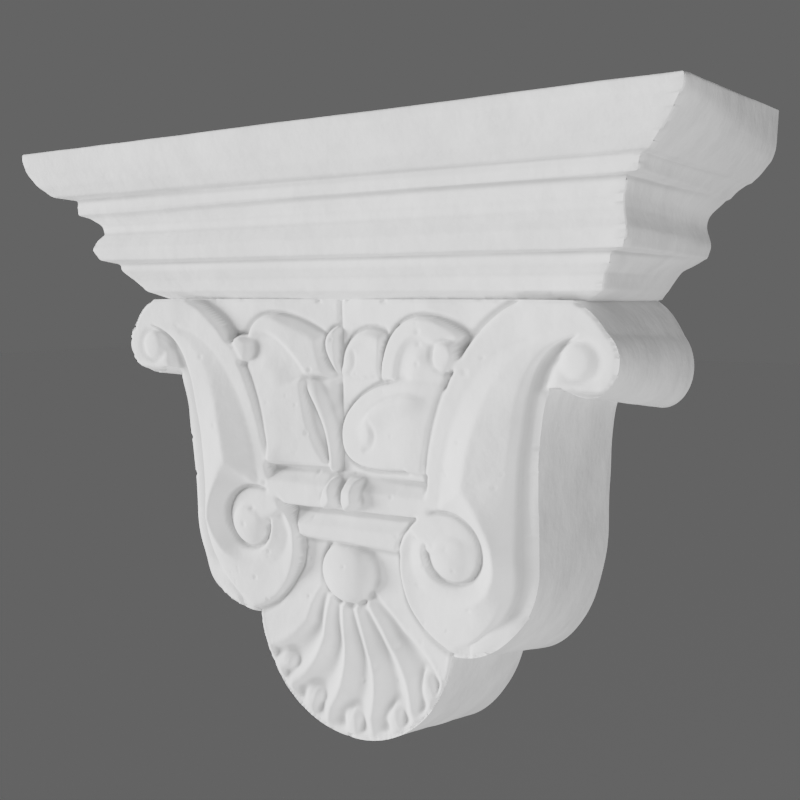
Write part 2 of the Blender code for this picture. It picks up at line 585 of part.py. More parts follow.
def make_outline_loft(collection):
    """A closed loft from the outline at the wall through the front outline and past the relief."""
    front, wall = half_outlines()
    bm = bmesh.new()
    loops = []
    for y in (0.0, -BODY_DEPTH - LOFT_BEYOND):
        points = mix(wall, front, -y / BODY_DEPTH)
        whole = np.concatenate([points, (points * (-1, 1))[-2:0:-1]])
        verts = [bm.verts.new((x * MM, y * MM, z * MM)) for x, z in whole]
        loops.append([bm.edges.new(pair) for pair in zip(verts, verts[1:] + verts[:1])])
    bmesh.ops.bridge_loops(bm, edges=loops[0] + loops[1])
    for loop in loops:
        bmesh.ops.contextual_create(bm, geom=loop)
    return new_object("outline_loft", bm, collection)


def make_carved_slab(name, collection):
    """A slab behind the carved front: a grid moved to the relief's depth and closed behind the wall."""
    half = BODY_HALF_WIDTH + SLAB_MARGIN
    low = -(SHELL_REACH_WALL - SHELL_Z) * BODY_HEIGHT / DRAWN_HEIGHT - SLAB_MARGIN
    high = BODY_TOP + 0.5 * NECK_SINK
    columns = round(2 * half / GRID_STEP)
    rows = round((high - low) / GRID_STEP)
    bm = bmesh.new()
    bmesh.ops.create_grid(bm, x_segments=columns, y_segments=rows, size=0.5)
    places = np.array([(vert.co.x * 2 * half, mix(low, high, vert.co.y + 0.5)) for vert in bm.verts])
    depths = relief(places[:, 0], places[:, 1])
    for vert, (x, z), depth in zip(bm.verts, places, depths):
        vert.co = (x * MM, -depth * MM, z * MM)
    rim = [edge for edge in bm.edges if edge.is_boundary]
    skirt = bmesh.ops.extrude_edge_only(bm, edges=rim)["geom"]
    for item in skirt:
        if isinstance(item, bmesh.types.BMVert):
            item.co.y = BEHIND * MM
    bmesh.ops.holes_fill(bm, edges=[edge for edge in bm.edges if edge.is_boundary])
    return new_object(name, bm, collection)


def plaster():
    """Matt white cast gypsum plaster."""
    material = bpy.data.materials.new("cast_gypsum_plaster")
    material.use_nodes = True
    surface = material.node_tree.nodes["Principled BSDF"]
    surface.inputs["Base Color"].default_value = (0.78, 0.78, 0.76, 1.0)
    surface.inputs["Roughness"].default_value = 0.85
    surface.inputs["Metallic"].default_value = 0.0
    return material


def boolean(target, operation, other):
    """An exact Boolean modifier on the target, with the other object kept as a guide."""
    cut = target.modifiers.new(operation.lower(), "BOOLEAN")
    cut.operation = operation
    cut.solver = "EXACT"
    cut.object = other
    other.hide_render = True
    other.display_type = "WIRE"


def main():
    for item in list(bpy.data.objects):
        bpy.data.objects.remove(item, do_unlink=True)
    parts = bpy.data.collections.new("plaster_console")
    guides = bpy.data.collections.new("guides")
    for collection in (parts, guides):
        bpy.context.scene.collection.children.link(collection)
    console = make_carved_slab("plaster_console", parts)
    console.data.materials.append(plaster())
    thin = console.modifiers.new("thin_out", "DECIMATE")
    thin.ratio = KEEP_SHARE
    boolean(console, "INTERSECT", make_outline_loft(guides))
    boolean(console, "UNION", make_cornice(guides))


main()
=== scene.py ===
"""The plaster console dressed for its picture: one fine casting in white gypsum plaster.

The casting is worked out as three closed surfaces: a slab whose front is a drawing of depths, the
outline that it is cut to, and a cornice run round three sides. Booleans make them one mesh. The wall
is y = 0, the front looks along -Y, and z = 0 is the line where the cornice meets the body. Sizes are
in millimetres until MM turns them into metres.
"""
import math

import bpy
import numpy as np
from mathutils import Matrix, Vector


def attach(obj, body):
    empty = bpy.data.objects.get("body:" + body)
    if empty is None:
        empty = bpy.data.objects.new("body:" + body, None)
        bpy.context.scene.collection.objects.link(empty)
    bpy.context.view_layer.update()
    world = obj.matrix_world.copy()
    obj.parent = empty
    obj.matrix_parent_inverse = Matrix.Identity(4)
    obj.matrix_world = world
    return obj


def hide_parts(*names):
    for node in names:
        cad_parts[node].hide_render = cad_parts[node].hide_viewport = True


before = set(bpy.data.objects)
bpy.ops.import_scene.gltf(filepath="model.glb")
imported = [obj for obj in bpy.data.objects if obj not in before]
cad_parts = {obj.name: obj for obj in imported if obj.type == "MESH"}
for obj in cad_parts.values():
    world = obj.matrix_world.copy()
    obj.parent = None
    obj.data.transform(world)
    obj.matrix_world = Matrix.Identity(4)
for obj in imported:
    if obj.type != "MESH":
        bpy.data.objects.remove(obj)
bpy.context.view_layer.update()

MM = 0.001

# Cornice
CORNICE_WIDTH = 420.0
CORNICE_DEPTH = 176.6
FASCIA_HEIGHT = 7.7
TOP_RISE = 12.7
TOP_INSET = 4.0
UNDERCUT = 3.5
NECK_SINK = 9.0
MITRE_ROUND = 0.9
MITRE_STEPS = 4
PROFILE_STEP = 0.85
RUN_STEP = 6.0
ARRIS_PASSES = 2
WORN_PASSES = 10

# The cornice's profile from the neck up, as inset from the fascia and height. It was run by hand, so
# the left and the right mitre differ
LEFT_RUN = ((62.0, 1.7), (52.6, 6.1), (47.4, 13.0), (41.5, 19.2), (41.0, 23.4), (31.9, 26.0),
            (28.9, 32.8), (31.5, 38.5), (34.9, 42.4), (33.5, 48.0), (28.6, 52.5), (23.0, 54.7),
            (23.0, 59.0), (23.0, 63.7), (12.3, 65.6), (6.1, 71.8), (1.3, 80.8), (0.0, 88.2),
            (0.0, 91.7))
RIGHT_RUN = ((61.1, 1.7), (51.6, 5.7), (50.6, 13.6), (45.6, 18.9), (45.0, 23.9), (35.9, 25.1),
             (33.9, 33.9), (35.5, 38.5), (36.5, 43.0), (36.4, 49.0), (34.8, 56.9), (26.8, 57.7),
             (26.5, 61.5), (25.0, 65.2), (20.1, 65.9), (13.5, 71.5), (7.0, 78.0), (0.5, 85.9),
             (0.0, 91.7))

# The profile where a return meets the wall, worn nearly plain
SIDE_HEIGHTS = (0.5, 17.7, 19.1, 19.6, 23.6, 31.2, 42.7, 49.3, 59.9, 63.4,
                63.9, 69.2, 77.8, 84.8, 91.7)
SIDE_INSETS = (62.1, 49.8, 48.3, 44.0, 36.5, 33.6, 37.1, 35.5, 21.9, 19.3,
               15.7, 8.7, 2.0, 0.2, 0.0)

# How the cornice drifts inward and up and down along its run: the lengths of its waves, the share of
# the shorter wave, how much longer the drift is up the profile, and the shift that leaves it inward.
# It is true at the neck, at the wall and on the top
DRIFT_WAVES = (95.0, 30.0)
DRIFT_SECOND = 0.5
DRIFT_UP = 2.2
DRIFT_SHIFT = 0.5
LIFT_WAVES = (110.0, 26.0)
LIFT_SECOND = 0.4
DRIFT_FROM = (2.0, 12.0)
WALL_TRUE = 25.0
TOP_TRUE_IN = (2.0, 3.5)
TOP_TRUE_UNDER = 3.0
FASCIA_LAP = 1.0

# Body
BODY_HALF_WIDTH = 168.5
BODY_DEPTH = 120.0
BODY_TOP = 1.0
FORWARD_LEAN = 0.06
LEAN_LEVEL = -100.0

# Upper volute
VOLUTE_CENTRE = (150.0, -29.0)
VOLUTE_RADIUS = 18.5
VOLUTE_SHOULDER = 11.5
VOLUTE_DROP = 1.34
VOLUTE_FROM = 100.0
VOLUTE_TO = -130.0
VOLUTE_OPENS = 45.0
VOLUTE_GROWTH = 1.6
EYE_CENTRE = (147.5, -29.0)
EYE_RADIUS = 9.6

# Side and lower round of a scroll, at the front and at the wall. The side's line starts a little under
# the volute; its four corners are offsets from SIDE_X, and its bend is a drop and a level
SIDE_X = 123.0
SIDE_X_WALL = 118.5
SIDE_UNDER = 0.8
SIDE_UNDER_WALL = 4.0
SIDE_OFFSETS = (7.5, -0.5, -0.5, 0.5)
SIDE_OFFSETS_WALL = (4.0, 0.0, 0.0, 0.0)
SIDE_BEND = (16.0, -100.0)
SIDE_BEND_WALL = (10.0, -110.0)
TOP_STATIONS = (0.0, 60.0, 120.0)
LOWER_Z = -140.0
LOWER_HALF_WIDTH = 52.5
LOWER_REACH = 57.0
LOWER_REACH_WALL = 91.0

# Lower volute: radius = start + rise * u + flare * u ** power, with u from 0 to 1 over the turn
CURL_CENTRE = (73.0, -139.0)
CURL_START = 17.0
CURL_RISE = 12.0
CURL_FLARE = 29.0
CURL_POWER = 3.2
CURL_FROM = -30.0
CURL_TURN = 300.0
CURL_EYE = (73.5, -140.5)
CURL_EYE_RADIUS = 12.5
CURL_EYE_RAISE = 2.2
CURL_SEAM = 160.0
DISC_EDGE = 1.0
DISC_DISH = 2.2
DISC_OPENS = (100.0, 165.0)
EYE_FULLNESS = 0.7

# Angles in degrees at which the lines along the lower volute start and end
GROOVE_TURNS = (108, -193)
RIM_TURNS = (160, 268)
DISC_TURNS = (-193, 155)
CUT_TURNS = (-193, 123)
BORDER_TURNS = (123, 270)
BORDER_CLOSING = ((73.0, -300.0), (300.0, -300.0), (300.0, 20.0), (113.0, 20.0))

# Lines that divide the right-hand scroll, as four Bezier corners each
SCROLL_EDGE = ((113.0, 0.0), (84.0, -12.0), (57.0, -52.0), (56.0, -119.0))
SCROLL_GROOVE = ((124.0, -17.0), (88.0, -22.0), (66.0, -66.0), (65.0, -115.0))
DROP_HOOK = ((143.0, -16.0), (121.0, -24.0), (117.0, -38.0), (113.0, -70.0))
DROP_SIDE = ((113.0, -70.0), (109.0, -90.0), (109.0, -120.0), (110.0, -140.0))
DROP_FALL = ((110.0, -140.0), (110.0, -160.0), (101.0, -174.0), (84.0, -188.0))
RIM_LIP = ((145.0, -17.0), (136.0, -20.0), (135.0, -32.0), (130.0, -44.0))

# Heights above the scrolls' own front plane
FILLET_RAISE = 3.0
SHELF_RAISE = 4.5
RIM_SINK = 1.0
DROP_WIDTH = 2.6
CURL_RAISE = 6.0
EYE_RAISE = 6.0
CUT_SINK = 3.0
CUT_WIDTH = 1.7

# The band of a scroll across its width, as heights at the inner line, the knee and the outer line,
# and the knee's share of the width; one column for each turn in degrees round the lower volute
BAND_TURNS = (0.0, 45.0, 90.0, 135.0, 170.0, 205.0)
BAND_INNER = (2.4, 1.0, 3.5, 5.5, 6.0, 4.5)
BAND_KNEE = (12.5, 9.0, 5.0, 2.0, 1.0, 2.0)
BAND_OUTER = (4.5, 4.5, 4.5, 4.0, 3.5, 3.5)
BAND_SHARE = (0.60, 0.50, 0.28, 0.50, 0.62, 0.62)
SHAFT_SHARE = 0.42
SHAFT_TURN = 150.0
SHAFT_BLEND = 25.0
CREST_TOP = -22.0
CREST_FULL = -95.0
TOP_FLAT_Z = (-22.0, -14.0)
TOP_FLAT_X = (112.0, 130.0)
DROP_EDGE = 0.5
DROP_STARTS = (-50.0, -40.0)
RIM_RISES = (164.0, 186.0)
EYE_RING = 0.5

# Panel: its ground is a shallow fold with its valley on the crease line. Right of the fold line the
# forms fall away, and at the lower left the ground flares out
PANEL_DEPTH = 113.5
PANEL_CREASE_X = -6.0
PANEL_SLOPE = 0.12
CREASE_SHARE = 0.7
FALL_SLOPE = 0.2
FALL_ROUND = 5.0
FOLD_RIGHT = ((56.0, -18.0), (50.0, -40.0), (45.0, -60.0), (44.0, -100.0))
LEFT_FALL_X = 50.0
LEFT_FALL_SLOPE = 0.1
FLARE_DEPTH = 5.0
FLARE_ACROSS = (38.0, 58.0)
FLARE_DOWN = (84.0, 108.0)
STEP_Z = -44.0

# Upper leaves: outer line, inner line of the rolled rim, and boss. A closing is the plain rest of a
# region that starts with the line above it
RIGHT_LEAF = ((26.0, -44.0), (26.0, -7.0), (56.0, 1.0), (81.0, -17.5))
RIGHT_LEAF_CLOSING = ((71.0, -44.0), (40.0, -44.0))
RIGHT_ROLL = ((37.0, -44.0), (37.0, -24.0), (50.0, -12.0), (63.0, -24.0))
RIGHT_ROLL_CLOSING = ((63.0, -44.0), (50.0, -44.0))
RIGHT_ROLL_EDGE = (-1.0, 1.5)
RIGHT_ROLL_FADE = (4.0, 14.0)
LEFT_LEAF = ((74.0, -24.0), (66.0, 3.0), (34.0, -9.0), (17.0, -20.0))
LEFT_LEAF_SIDE = ((17.0, -20.0), (16.0, -28.0), (14.0, -36.0), (9.0, -44.0))
LEFT_LEAF_CLOSING = ((74.0, -44.0),)
LEFT_SOFT = 2.0
LEFT_ROLL = ((66.0, -22.0), (56.0, -10.0), (38.0, -29.0), (27.0, -45.0))
LEFT_ROLL_CLOSING = ((66.0, -60.0),)
LEFT_ROLL_EDGE = (-0.8, 1.5)
LEFT_ROLL_FADE = (6.0, 22.0)
LEFT_ROLL_X = 20.0
LEAF_RAISE = 4.5
LEAF_FACET = 6.5
FACET_ACROSS = (38.0, 56.0)
ROLL_RAISE = 2.2
BOSS_CENTRE = (71.0, -29.5)
BOSS_RADIUS = 8.3
BOSS_SWELL = 1.5
BOSS_RING = 1.06
BOSS_RING_SHARE = 0.7
LEFT_BOSS_SHIFT = 4.0

# Lobe right of the crease line, with a fold and a hooked curl inside it
LOBE_TOP = ((52.0, -43.0), (17.0, -44.0), (-3.0, -60.0), (-3.5, -77.0))
LOBE_FOOT = ((-3.5, -77.0), (-3.5, -97.0), (12.0, -99.0), (44.0, -95.0))
LOBE_CLOSING = ((70.0, -95.0), (70.0, -43.0))
LOBE_RAISE = 5.5
LOBE_LAP = 2.0
FOLD_RAISE = 3.0
FOLD_ACROSS = (10.0, 22.0)
FOLD_EDGE = (-1.0, 1.5)
FOLD_FADE = (2.5, 15.0)
LOBE_FOLD = ((46.0, -52.0), (30.0, -55.0), (19.0, -61.0), (11.0, -72.0))
LOBE_FOLD_CLOSING = ((11.0, -110.0), (60.0, -110.0), (60.0, -52.0))
HOOK_SHARE = 0.5
LOBE_HOOK = ((20.0, -69.0), (24.0, -74.0), (23.0, -82.0), (16.0, -85.0))
HOOK_WIDTH = 3.0

# Left of the crease line: the lower edge of the leaf, a strand that crosses down to the crease, and
# the almond-shaped hollow between the strand and the crease
LEAF_EDGE = ((30.0, -44.0), (29.0, -62.0), (25.0, -86.0), (9.0, -98.0))
LEAF_EDGE_CLOSING = ((90.0, -98.0), (90.0, -44.0))
STRAND_LINE = ((28.0, -45.0), (22.0, -56.0), (9.5, -70.0), (9.5, -99.0))
STRAND_WIDTHS = (9.0, 6.5)
STRAND_TAPER = (45.0, 95.0)
STRAND_RAISE = 5.5
STRAND_RISES = (44.0, 60.0)
STRAND_START_SHARE = 0.3
STEP_STARTS = (4.0, 8.0)
STEP_ENDS = (27.0, 31.0)
STEP_SHARE = 0.8
STEP_UNDER = 0.5
ALMOND_TOP = (44.0, 50.0)
ALMOND_FOOT = (54.0, 66.0)
ALMOND_SIDE = (7.0, 14.0)

# Bud across the crease line
BUD_LEFT = ((5.0, -14.0), (18.0, -15.0), (21.0, -30.0), (6.0, -46.0))
BUD_LEFT_CLOSING = ((5.0, -30.0),)
BUD_LEFT_SOFT = 2.5
BUD_LEFT_RISES = (-44.0, -22.0)
BUD_LEFT_FOOT_SHARE = 0.5
BUD_RIGHT = ((-5.0, -36.0), (-3.0, -22.0), (11.0, -10.0), (28.0, -17.0))
BUD_CLOSING = ((27.0, -30.0), (26.0, -42.0), (12.0, -44.0), (-5.0, -43.0))
BUD_RISES = (-44.0, -24.0)
BUD_FOOT_SHARE = 0.4
BUD_HOOK = ((7.0, -29.0), (7.0, -34.0), (6.0, -38.0), (2.0, -42.0))
BUD_RAISE = 5.0
BUD_BACK = 4.5
BUD_LIP = 1.0
BUD_LIP_STARTS = (0.6 * BUD_BACK, BUD_BACK + 0.8)
BUD_LIP_FADES = (BUD_BACK + 1.5, BUD_BACK + 8.0)
BUD_MARGIN = 1.5
LEAF_OVER_BUD = 2.0

# Ledge with its two tabs, recess and bulged moulding
LEDGE_HALF_WIDTH = 47.0
LEDGE_TOP = -100.5
LEDGE_EDGE = -110.0
LEDGE_FOOT = -123.0
RECESS_FOOT = -132.5
MOULDING_FOOT = -145.0
LEDGE_DEPTH = 122.3
RECESS_DEPTH = 109.5
MOULDING_DEPTH = 118.5
BORDER_DEPTH = 117.0
LEFT_TAB = ((-9.0, -103.5), (-4.5, -103.5), (-2.0, -117.0), (-6.0, -121.0), (-12.0, -123.5),
            (-15.0, -118.0))
RIGHT_TAB = ((2.0, -103.5), (12.0, -102.5), (13.5, -117.0), (9.0, -120.5), (4.0, -123.5),
             (0.5, -117.0))
TAB_RAISE = 6.5
TAB_TILT = 0.3
TAB_EDGE = (-0.2, 1.6)
LEDGE_TILT = 1.5
LEDGE_TILT_DOWN = (112.0, 118.0)
LEDGE_TILT_END = -139.0
LEDGE_BLEND = 4.0
LEDGE_UNDER = 0.7

# Ball, with a cut along its left and lower edge that fades to the upper right
BALL_CENTRE = (-1.0, -161.5)
BALL_RADIUS = 19.0
BALL_RAISE = 11.0
BALL_FULLNESS = 0.8
BALL_GAP = 3.5
BALL_CUT_OUT = 0.4 * BALL_GAP
BALL_CUT_WIDTH = 0.6 * BALL_GAP
BALL_SINK = 3.0
BALL_SHADE = (-14.0, 8.0)
BALL_SHADE_DOWN = (142.0, 150.0)

# Shell: a half ellipse at the front and at the wall, from the angle in degrees at which it leaves the
# scroll, with a fan of hollow flutes. Each flute is shallow by the ball, and its foot is filled by a
# tongue whose right edge is the steeper
SHELL_Z = -190.0
SHELL_HALF_WIDTH = 71.0
SHELL_REACH = 73.0
SHELL_HALF_WIDTH_WALL = 67.0
SHELL_REACH_WALL = 105.0
SHELL_FROM = 6
SHELL_FROM_WALL = 24
SHELL_DEPTH = 112.0
SHELL_RIM_DEPTH = 116.5
BESIDE_FAN = 1.5
RIM_UNDER = 1.0
RIM_TOP = 10.0
FAN_Z = -160.0
FAN_TOP = (-176.0, -162.0)
FAN_SPREAD = 0.4
FAN_SPREAD_END = 48.0
FAN_SWAY = math.radians(6.0)
FAN_SWAY_FROM = 22.0
FAN_SWAY_TO = 90.0
FLUTE_PITCH = math.radians(19.5)
FLUTE_COUNT = 5
FLUTE_DEPTH = 7.5
FLUTE_POWER = 1.7
FLUTE_START_SHARE = 0.5
FLUTE_FULL_FROM = 55.0
FLUTE_RIM = (1.0, 4.0)
TONGUE_RADIUS = 9.0
TONGUE_SINK = 0.6
TONGUE_IN = 9.0
TONGUE_STEEP = 0.6
TONGUE_SOFT = 1.0

# The ledge, the recess and the moulding from the top down, as level and depth
LEDGE_PROFILE = ((LEDGE_TOP, PANEL_DEPTH), (LEDGE_EDGE, LEDGE_DEPTH), (LEDGE_FOOT, LEDGE_DEPTH - 0.5),
                 (LEDGE_FOOT - LEDGE_UNDER, RECESS_DEPTH), (RECESS_FOOT, MOULDING_DEPTH - 1.5),
                 (RECESS_FOOT - 2.0, MOULDING_DEPTH), (MOULDING_FOOT + 3.0, MOULDING_DEPTH),
                 (MOULDING_FOOT, SHELL_DEPTH + 1.0))

# The scrolls' inner edge: the heights above and below which a cut runs along it, so that there is none
# beside the ledge, and the stretch beside the shell over which it gets softer
EDGE_CUT_UP = (-102.5, -100.5)
EDGE_CUT_DOWN = (119.0, 122.0)
EDGE_SOFT_DOWN = (125.0, 150.0)
EDGE_SOFT_TIMES = 1.9
EDGE_FROM_TO = (-0.4, 0.8)

# Softness of the raised forms' edges and of the cut outline
SOFT = 1.5
EDGE_ROUND = 2.2

# Fineness of the slab's grid, up and across, of the loft and of the curves
FINE_STEP = 0.85
PLAIN_STEP = 1.4
FINE_HALF_WIDTH = 58.0
FINE_FOOT = -186.0
SLAB_COLUMNS = (68, 48, 3, 28)
SIDE_STEP = 5.0
CURVE_STEPS = 24

# How far the slab and the loft reach past the finished body, so that they cut cleanly
LOFT_BEYOND = 40.0
SLAB_MARGIN = 6.0
SLAB_TOP = BODY_TOP + 0.5 * NECK_SINK
SLAB_FOOT = SHELL_Z - SHELL_REACH_WALL - SLAB_MARGIN
BEHIND = 5.0

# Unevenness of the cast body: its height, the lengths of its waves, the share of the shorter wave on
# the front, and the distance below the cornice over which it starts on the sides
UNEVEN = 0.45
SLAB_WAVES = (45.0, 14.0)
SLAB_SECOND = 0.4
SIDE_WAVE = 38.0
SIDE_TRUE = 12.0

# Chips along the outline and the mitres, where a random field passes between two levels, and pits of
# air bubbles in the area between two corners
CHIP_SIZE = 9.0
CHIP_LEVELS = (0.3, 0.55)
CHIP_REACH = 3.5
CHIP_DEPTH = 1.6
MITRE_CHIP_SIZE = 0.8 * CHIP_SIZE
MITRE_CHIP_LEVELS = (0.0, 0.3)
PIT_COUNT = 160
PIT_AREA = ((-150.0, -262.0), (150.0, -8.0))
PIT_RADII = (1.2, 3.0)
PIT_DEPTH = 0.7

# Passes that round the cast's arrises and find its sharp hollows, how deep a hollow starts and ends
# to take painted shade, the slant up to which a face counts as front, and the angle from which an edge
# is sharp
CAST_PASSES = 2
HOLLOW_PASSES = 4
SHADE_PASSES = 8
SHADE_FROM_TO = (0.05, 0.6)
FRONT_SLANT = -0.3
SHARP_ANGLE = math.radians(48.0)

# The plaster's patterns, in millimetres: faint clouds, the swell of rubbing down and the grain. Real
# grain is too fine to show, so it is drawn this coarse
CLOUD_SIZE = 35.7
CLOUD_SPREAD = (0.3, 0.7)
CLOUD_TONES = ("#DDDDDD", "#EEEEEE")
# Painted shade: the grey painted into the sharp hollows of the front and the cornice, where shade falls
PAINTED_SHADE_TONE = "#B4B4B4"
SWELL_SIZE = 14.3
SWELL_HEIGHT = 2.0
GRAIN_SIZE = 2.38
GRAIN_HEIGHT = 0.4

# The Mix node's places for its two colours and its result
MIX_FIRST = 6
MIX_SECOND = 7
MIX_RESULT = 2

# Studio: the floor in millimetres, then lamps as name, place and aim in metres, width in metres and
# power in watts, and the camera's place in metres, its angles in degrees and its lens
FLOOR_Z = -20000.0
FLOOR_REACH = 300000.0
FLOOR_TONE = "#FDFDFD"
SURROUND_TONE = "#656565"
LAMPS = (("left_front", (-3.15, -1.60, 0.05), (0.0, -0.1, -0.1), 1.0, 355.0),
         ("low_front", (0.39, -0.775, -0.35), (0.0, -0.1, -0.1), 0.5, 4.6),
         ("behind_above", (-1.1, 2.2, 1.9), (0.0, -0.1, 0.0), 1.4, 60.0),
         ("right_front", (0.86, -0.77, -0.55), (0.0, -0.1, -0.1), 0.7, 8.0))
CAMERA_PLACE = (0.3228, -0.5616, 0.00264)
CAMERA_TILT = 6.26
CAMERA_TURN = 32.71
CAMERA_LENS = 42.489
CAMERA_SENSOR = 36.0
CAMERA_NEAR = 0.01


def bezier(corners):
    """Points on a cubic Bezier curve: corners weighted (1-t)^3, 3t(1-t)^2, 3t^2(1-t) and t^3."""
    t = np.linspace(0.0, 1.0, CURVE_STEPS + 1)[:, None]
    weights = ((1 - t) ** 3, 3 * t * (1 - t) ** 2, 3 * t * t * (1 - t), t ** 3)
    return sum(weight * np.array(corner) for weight, corner in zip(weights, corners))


def distance(path, x, z):
    """Shortest distance from each (x, z) to an open line of points."""
    best = np.full(x.shape, np.inf)
    for start, end in zip(path[:-1], path[1:]):
        run = end - start
        share = ((x - start[0]) * run[0] + (z - start[1]) * run[1]) / max(run @ run, 1e-9)
        share = np.clip(share, 0.0, 1.0)
        gap = np.hypot(x - start[0] - share * run[0], z - start[1] - share * run[1])
        best = np.minimum(best, gap)
    return best


def inside(outline, x, z):
    """True where (x, z) lies inside a closed outline, by counting crossings to the right."""
    result = np.zeros(x.shape, bool)
    for start, end in zip(outline, np.roll(outline, -1, axis=0)):
        rise = end[1] - start[1]
        if rise == 0.0:
            continue
        crosses = (start[1] > z) != (end[1] > z)
        result ^= crosses & (x < start[0] + (z - start[1]) * (end[0] - start[0]) / rise)
    return result


def reach_in(path, closing, x, z):
    """Distance into a region bounded by a line and plain closing points; negative outside it."""
    region = inside(np.concatenate([path, np.reshape(closing, (-1, 2))]), x, z)
    return np.where(region, 1.0, -1.0) * distance(path, x, z)


def smooth(value, low, high):
    """A soft step from 0 at low to 1 at high."""
    t = np.clip((value - low) / (high - low), 0.0, 1.0)
    return t * t * (3.0 - 2.0 * t)


def mix(first, second, share):
    """The first value where share is 0 and the second where it is 1."""
    return first + (second - first) * share


def dome(share):
    """Height of a round dome of height 1, at a share of its radius."""
    return np.sqrt(np.clip(1.0 - share ** 2, 0.0, 1.0))


def uneven(a, b, size, seed):
    """A soft random field over two lengths: the mean of eight sine waves about size long."""
    random = np.random.default_rng(seed)
    total = 0.0
    for turn, phase, stretch in random.uniform((0, 0, 0.7), (2 * math.pi, 2 * math.pi, 1.5), (8, 3)):
        along = a * math.cos(turn) + b * math.sin(turn)
        total = total + np.sin(2 * math.pi * along / (size * stretch) + phase)
    return total / 8.0


def curl_radius(angle):
    """Radius of the lower volute's line at an angle in degrees: even at first, then widening."""
    turn = np.clip((angle - CURL_FROM) / CURL_TURN, 0.0, None)
    return CURL_START + CURL_RISE * turn + CURL_FLARE * turn ** CURL_POWER


def curl(first, last):
    """The lower volute's line between two angles in degrees."""
    angle = np.linspace(first, last, 2 * CURVE_STEPS + 1)
    turn = np.radians(angle)
    around = np.stack([np.cos(turn), np.sin(turn)], axis=-1)
    return np.array(CURL_CENTRE) + curl_radius(angle)[:, None] * around


def volute_outline():
    """Outline of the upper volute, from its shoulder under the cornice round to its underside."""
    angle = np.linspace(VOLUTE_FROM, VOLUTE_TO, 3 * CURVE_STEPS)
    opening = np.clip((angle - VOLUTE_OPENS) / (VOLUTE_FROM - VOLUTE_OPENS), 0.0, 1.0)
    radius = VOLUTE_RADIUS + VOLUTE_SHOULDER * opening ** VOLUTE_GROWTH
    turn = np.radians(angle)
    around = np.stack([np.cos(turn), np.sin(turn)], axis=-1)
    outline = np.array(VOLUTE_CENTRE) + radius[:, None] * around
    outline[:, 1] = np.minimum(outline[:, 1], BODY_TOP)
    return outline


def ellipse(centre, half_width, reach, first, last):
    """A stretch of an ellipse below its centre, between two angles in degrees from the +X side."""
    turn = np.radians(np.linspace(first, last, 2 * CURVE_STEPS + 1))
    return np.array(centre) + np.stack([half_width * np.cos(turn), -reach * np.sin(turn)], axis=-1)


def side_line(side_x, low, offsets, bend):
    """The side of a scroll as a Bezier curve, from under its volute down to its lower round."""
    levels = (low, low - bend[0], bend[1], LOWER_Z)
    return bezier([(side_x + offset, level) for offset, level in zip(offsets, levels)])


def half_outlines():
    """The body's right half outline at the front plane and at the wall, point for point."""
    top = np.array([(station, BODY_TOP) for station in TOP_STATIONS])
    volute = volute_outline()
    volute_wall = volute.copy()
    volute_wall[:, 1] = mix(BODY_TOP, volute[:, 1], VOLUTE_DROP)
    side = side_line(SIDE_X, volute[-1, 1] - SIDE_UNDER, SIDE_OFFSETS, SIDE_BEND)
    side_wall = side_line(SIDE_X_WALL, volute_wall[-1, 1] - SIDE_UNDER_WALL, SIDE_OFFSETS_WALL,
                          SIDE_BEND_WALL)
    round_front = (side[-1, 0] - LOWER_HALF_WIDTH, LOWER_Z)
    round_wall = (side_wall[-1, 0] - LOWER_HALF_WIDTH, LOWER_Z)
    lower = ellipse(round_front, LOWER_HALF_WIDTH, LOWER_REACH, 0, 90)[1:]
    lower_wall = ellipse(round_wall, LOWER_HALF_WIDTH, LOWER_REACH_WALL, 0, 90)[1:]
    shell = ellipse((0.0, SHELL_Z), SHELL_HALF_WIDTH, SHELL_REACH, SHELL_FROM, 90)
    shell_wall = ellipse((0.0, SHELL_Z), SHELL_HALF_WIDTH_WALL, SHELL_REACH_WALL, SHELL_FROM_WALL, 90)
    front = np.concatenate([top, volute, side, lower, shell])
    wall = np.concatenate([top, volute_wall, side_wall, lower_wall, shell_wall])
    return front, wall


def drop_line():
    """The top edge of the wall where a scroll's face drops to its outer rim."""
    return np.concatenate([bezier(DROP_HOOK), bezier(DROP_SIDE)[1:], bezier(DROP_FALL)[1:]])


def groove(gap):
    """Share of a narrow rounded cut at a distance from its line: 1 on the line, 0 beyond its width."""
    return 1.0 - smooth(np.abs(gap), 0.0, CUT_WIDTH)


def cut(line, x, z):
    """A narrow rounded cut along a line, as a height to add."""
    return -CUT_SINK * groove(distance(line, x, z))


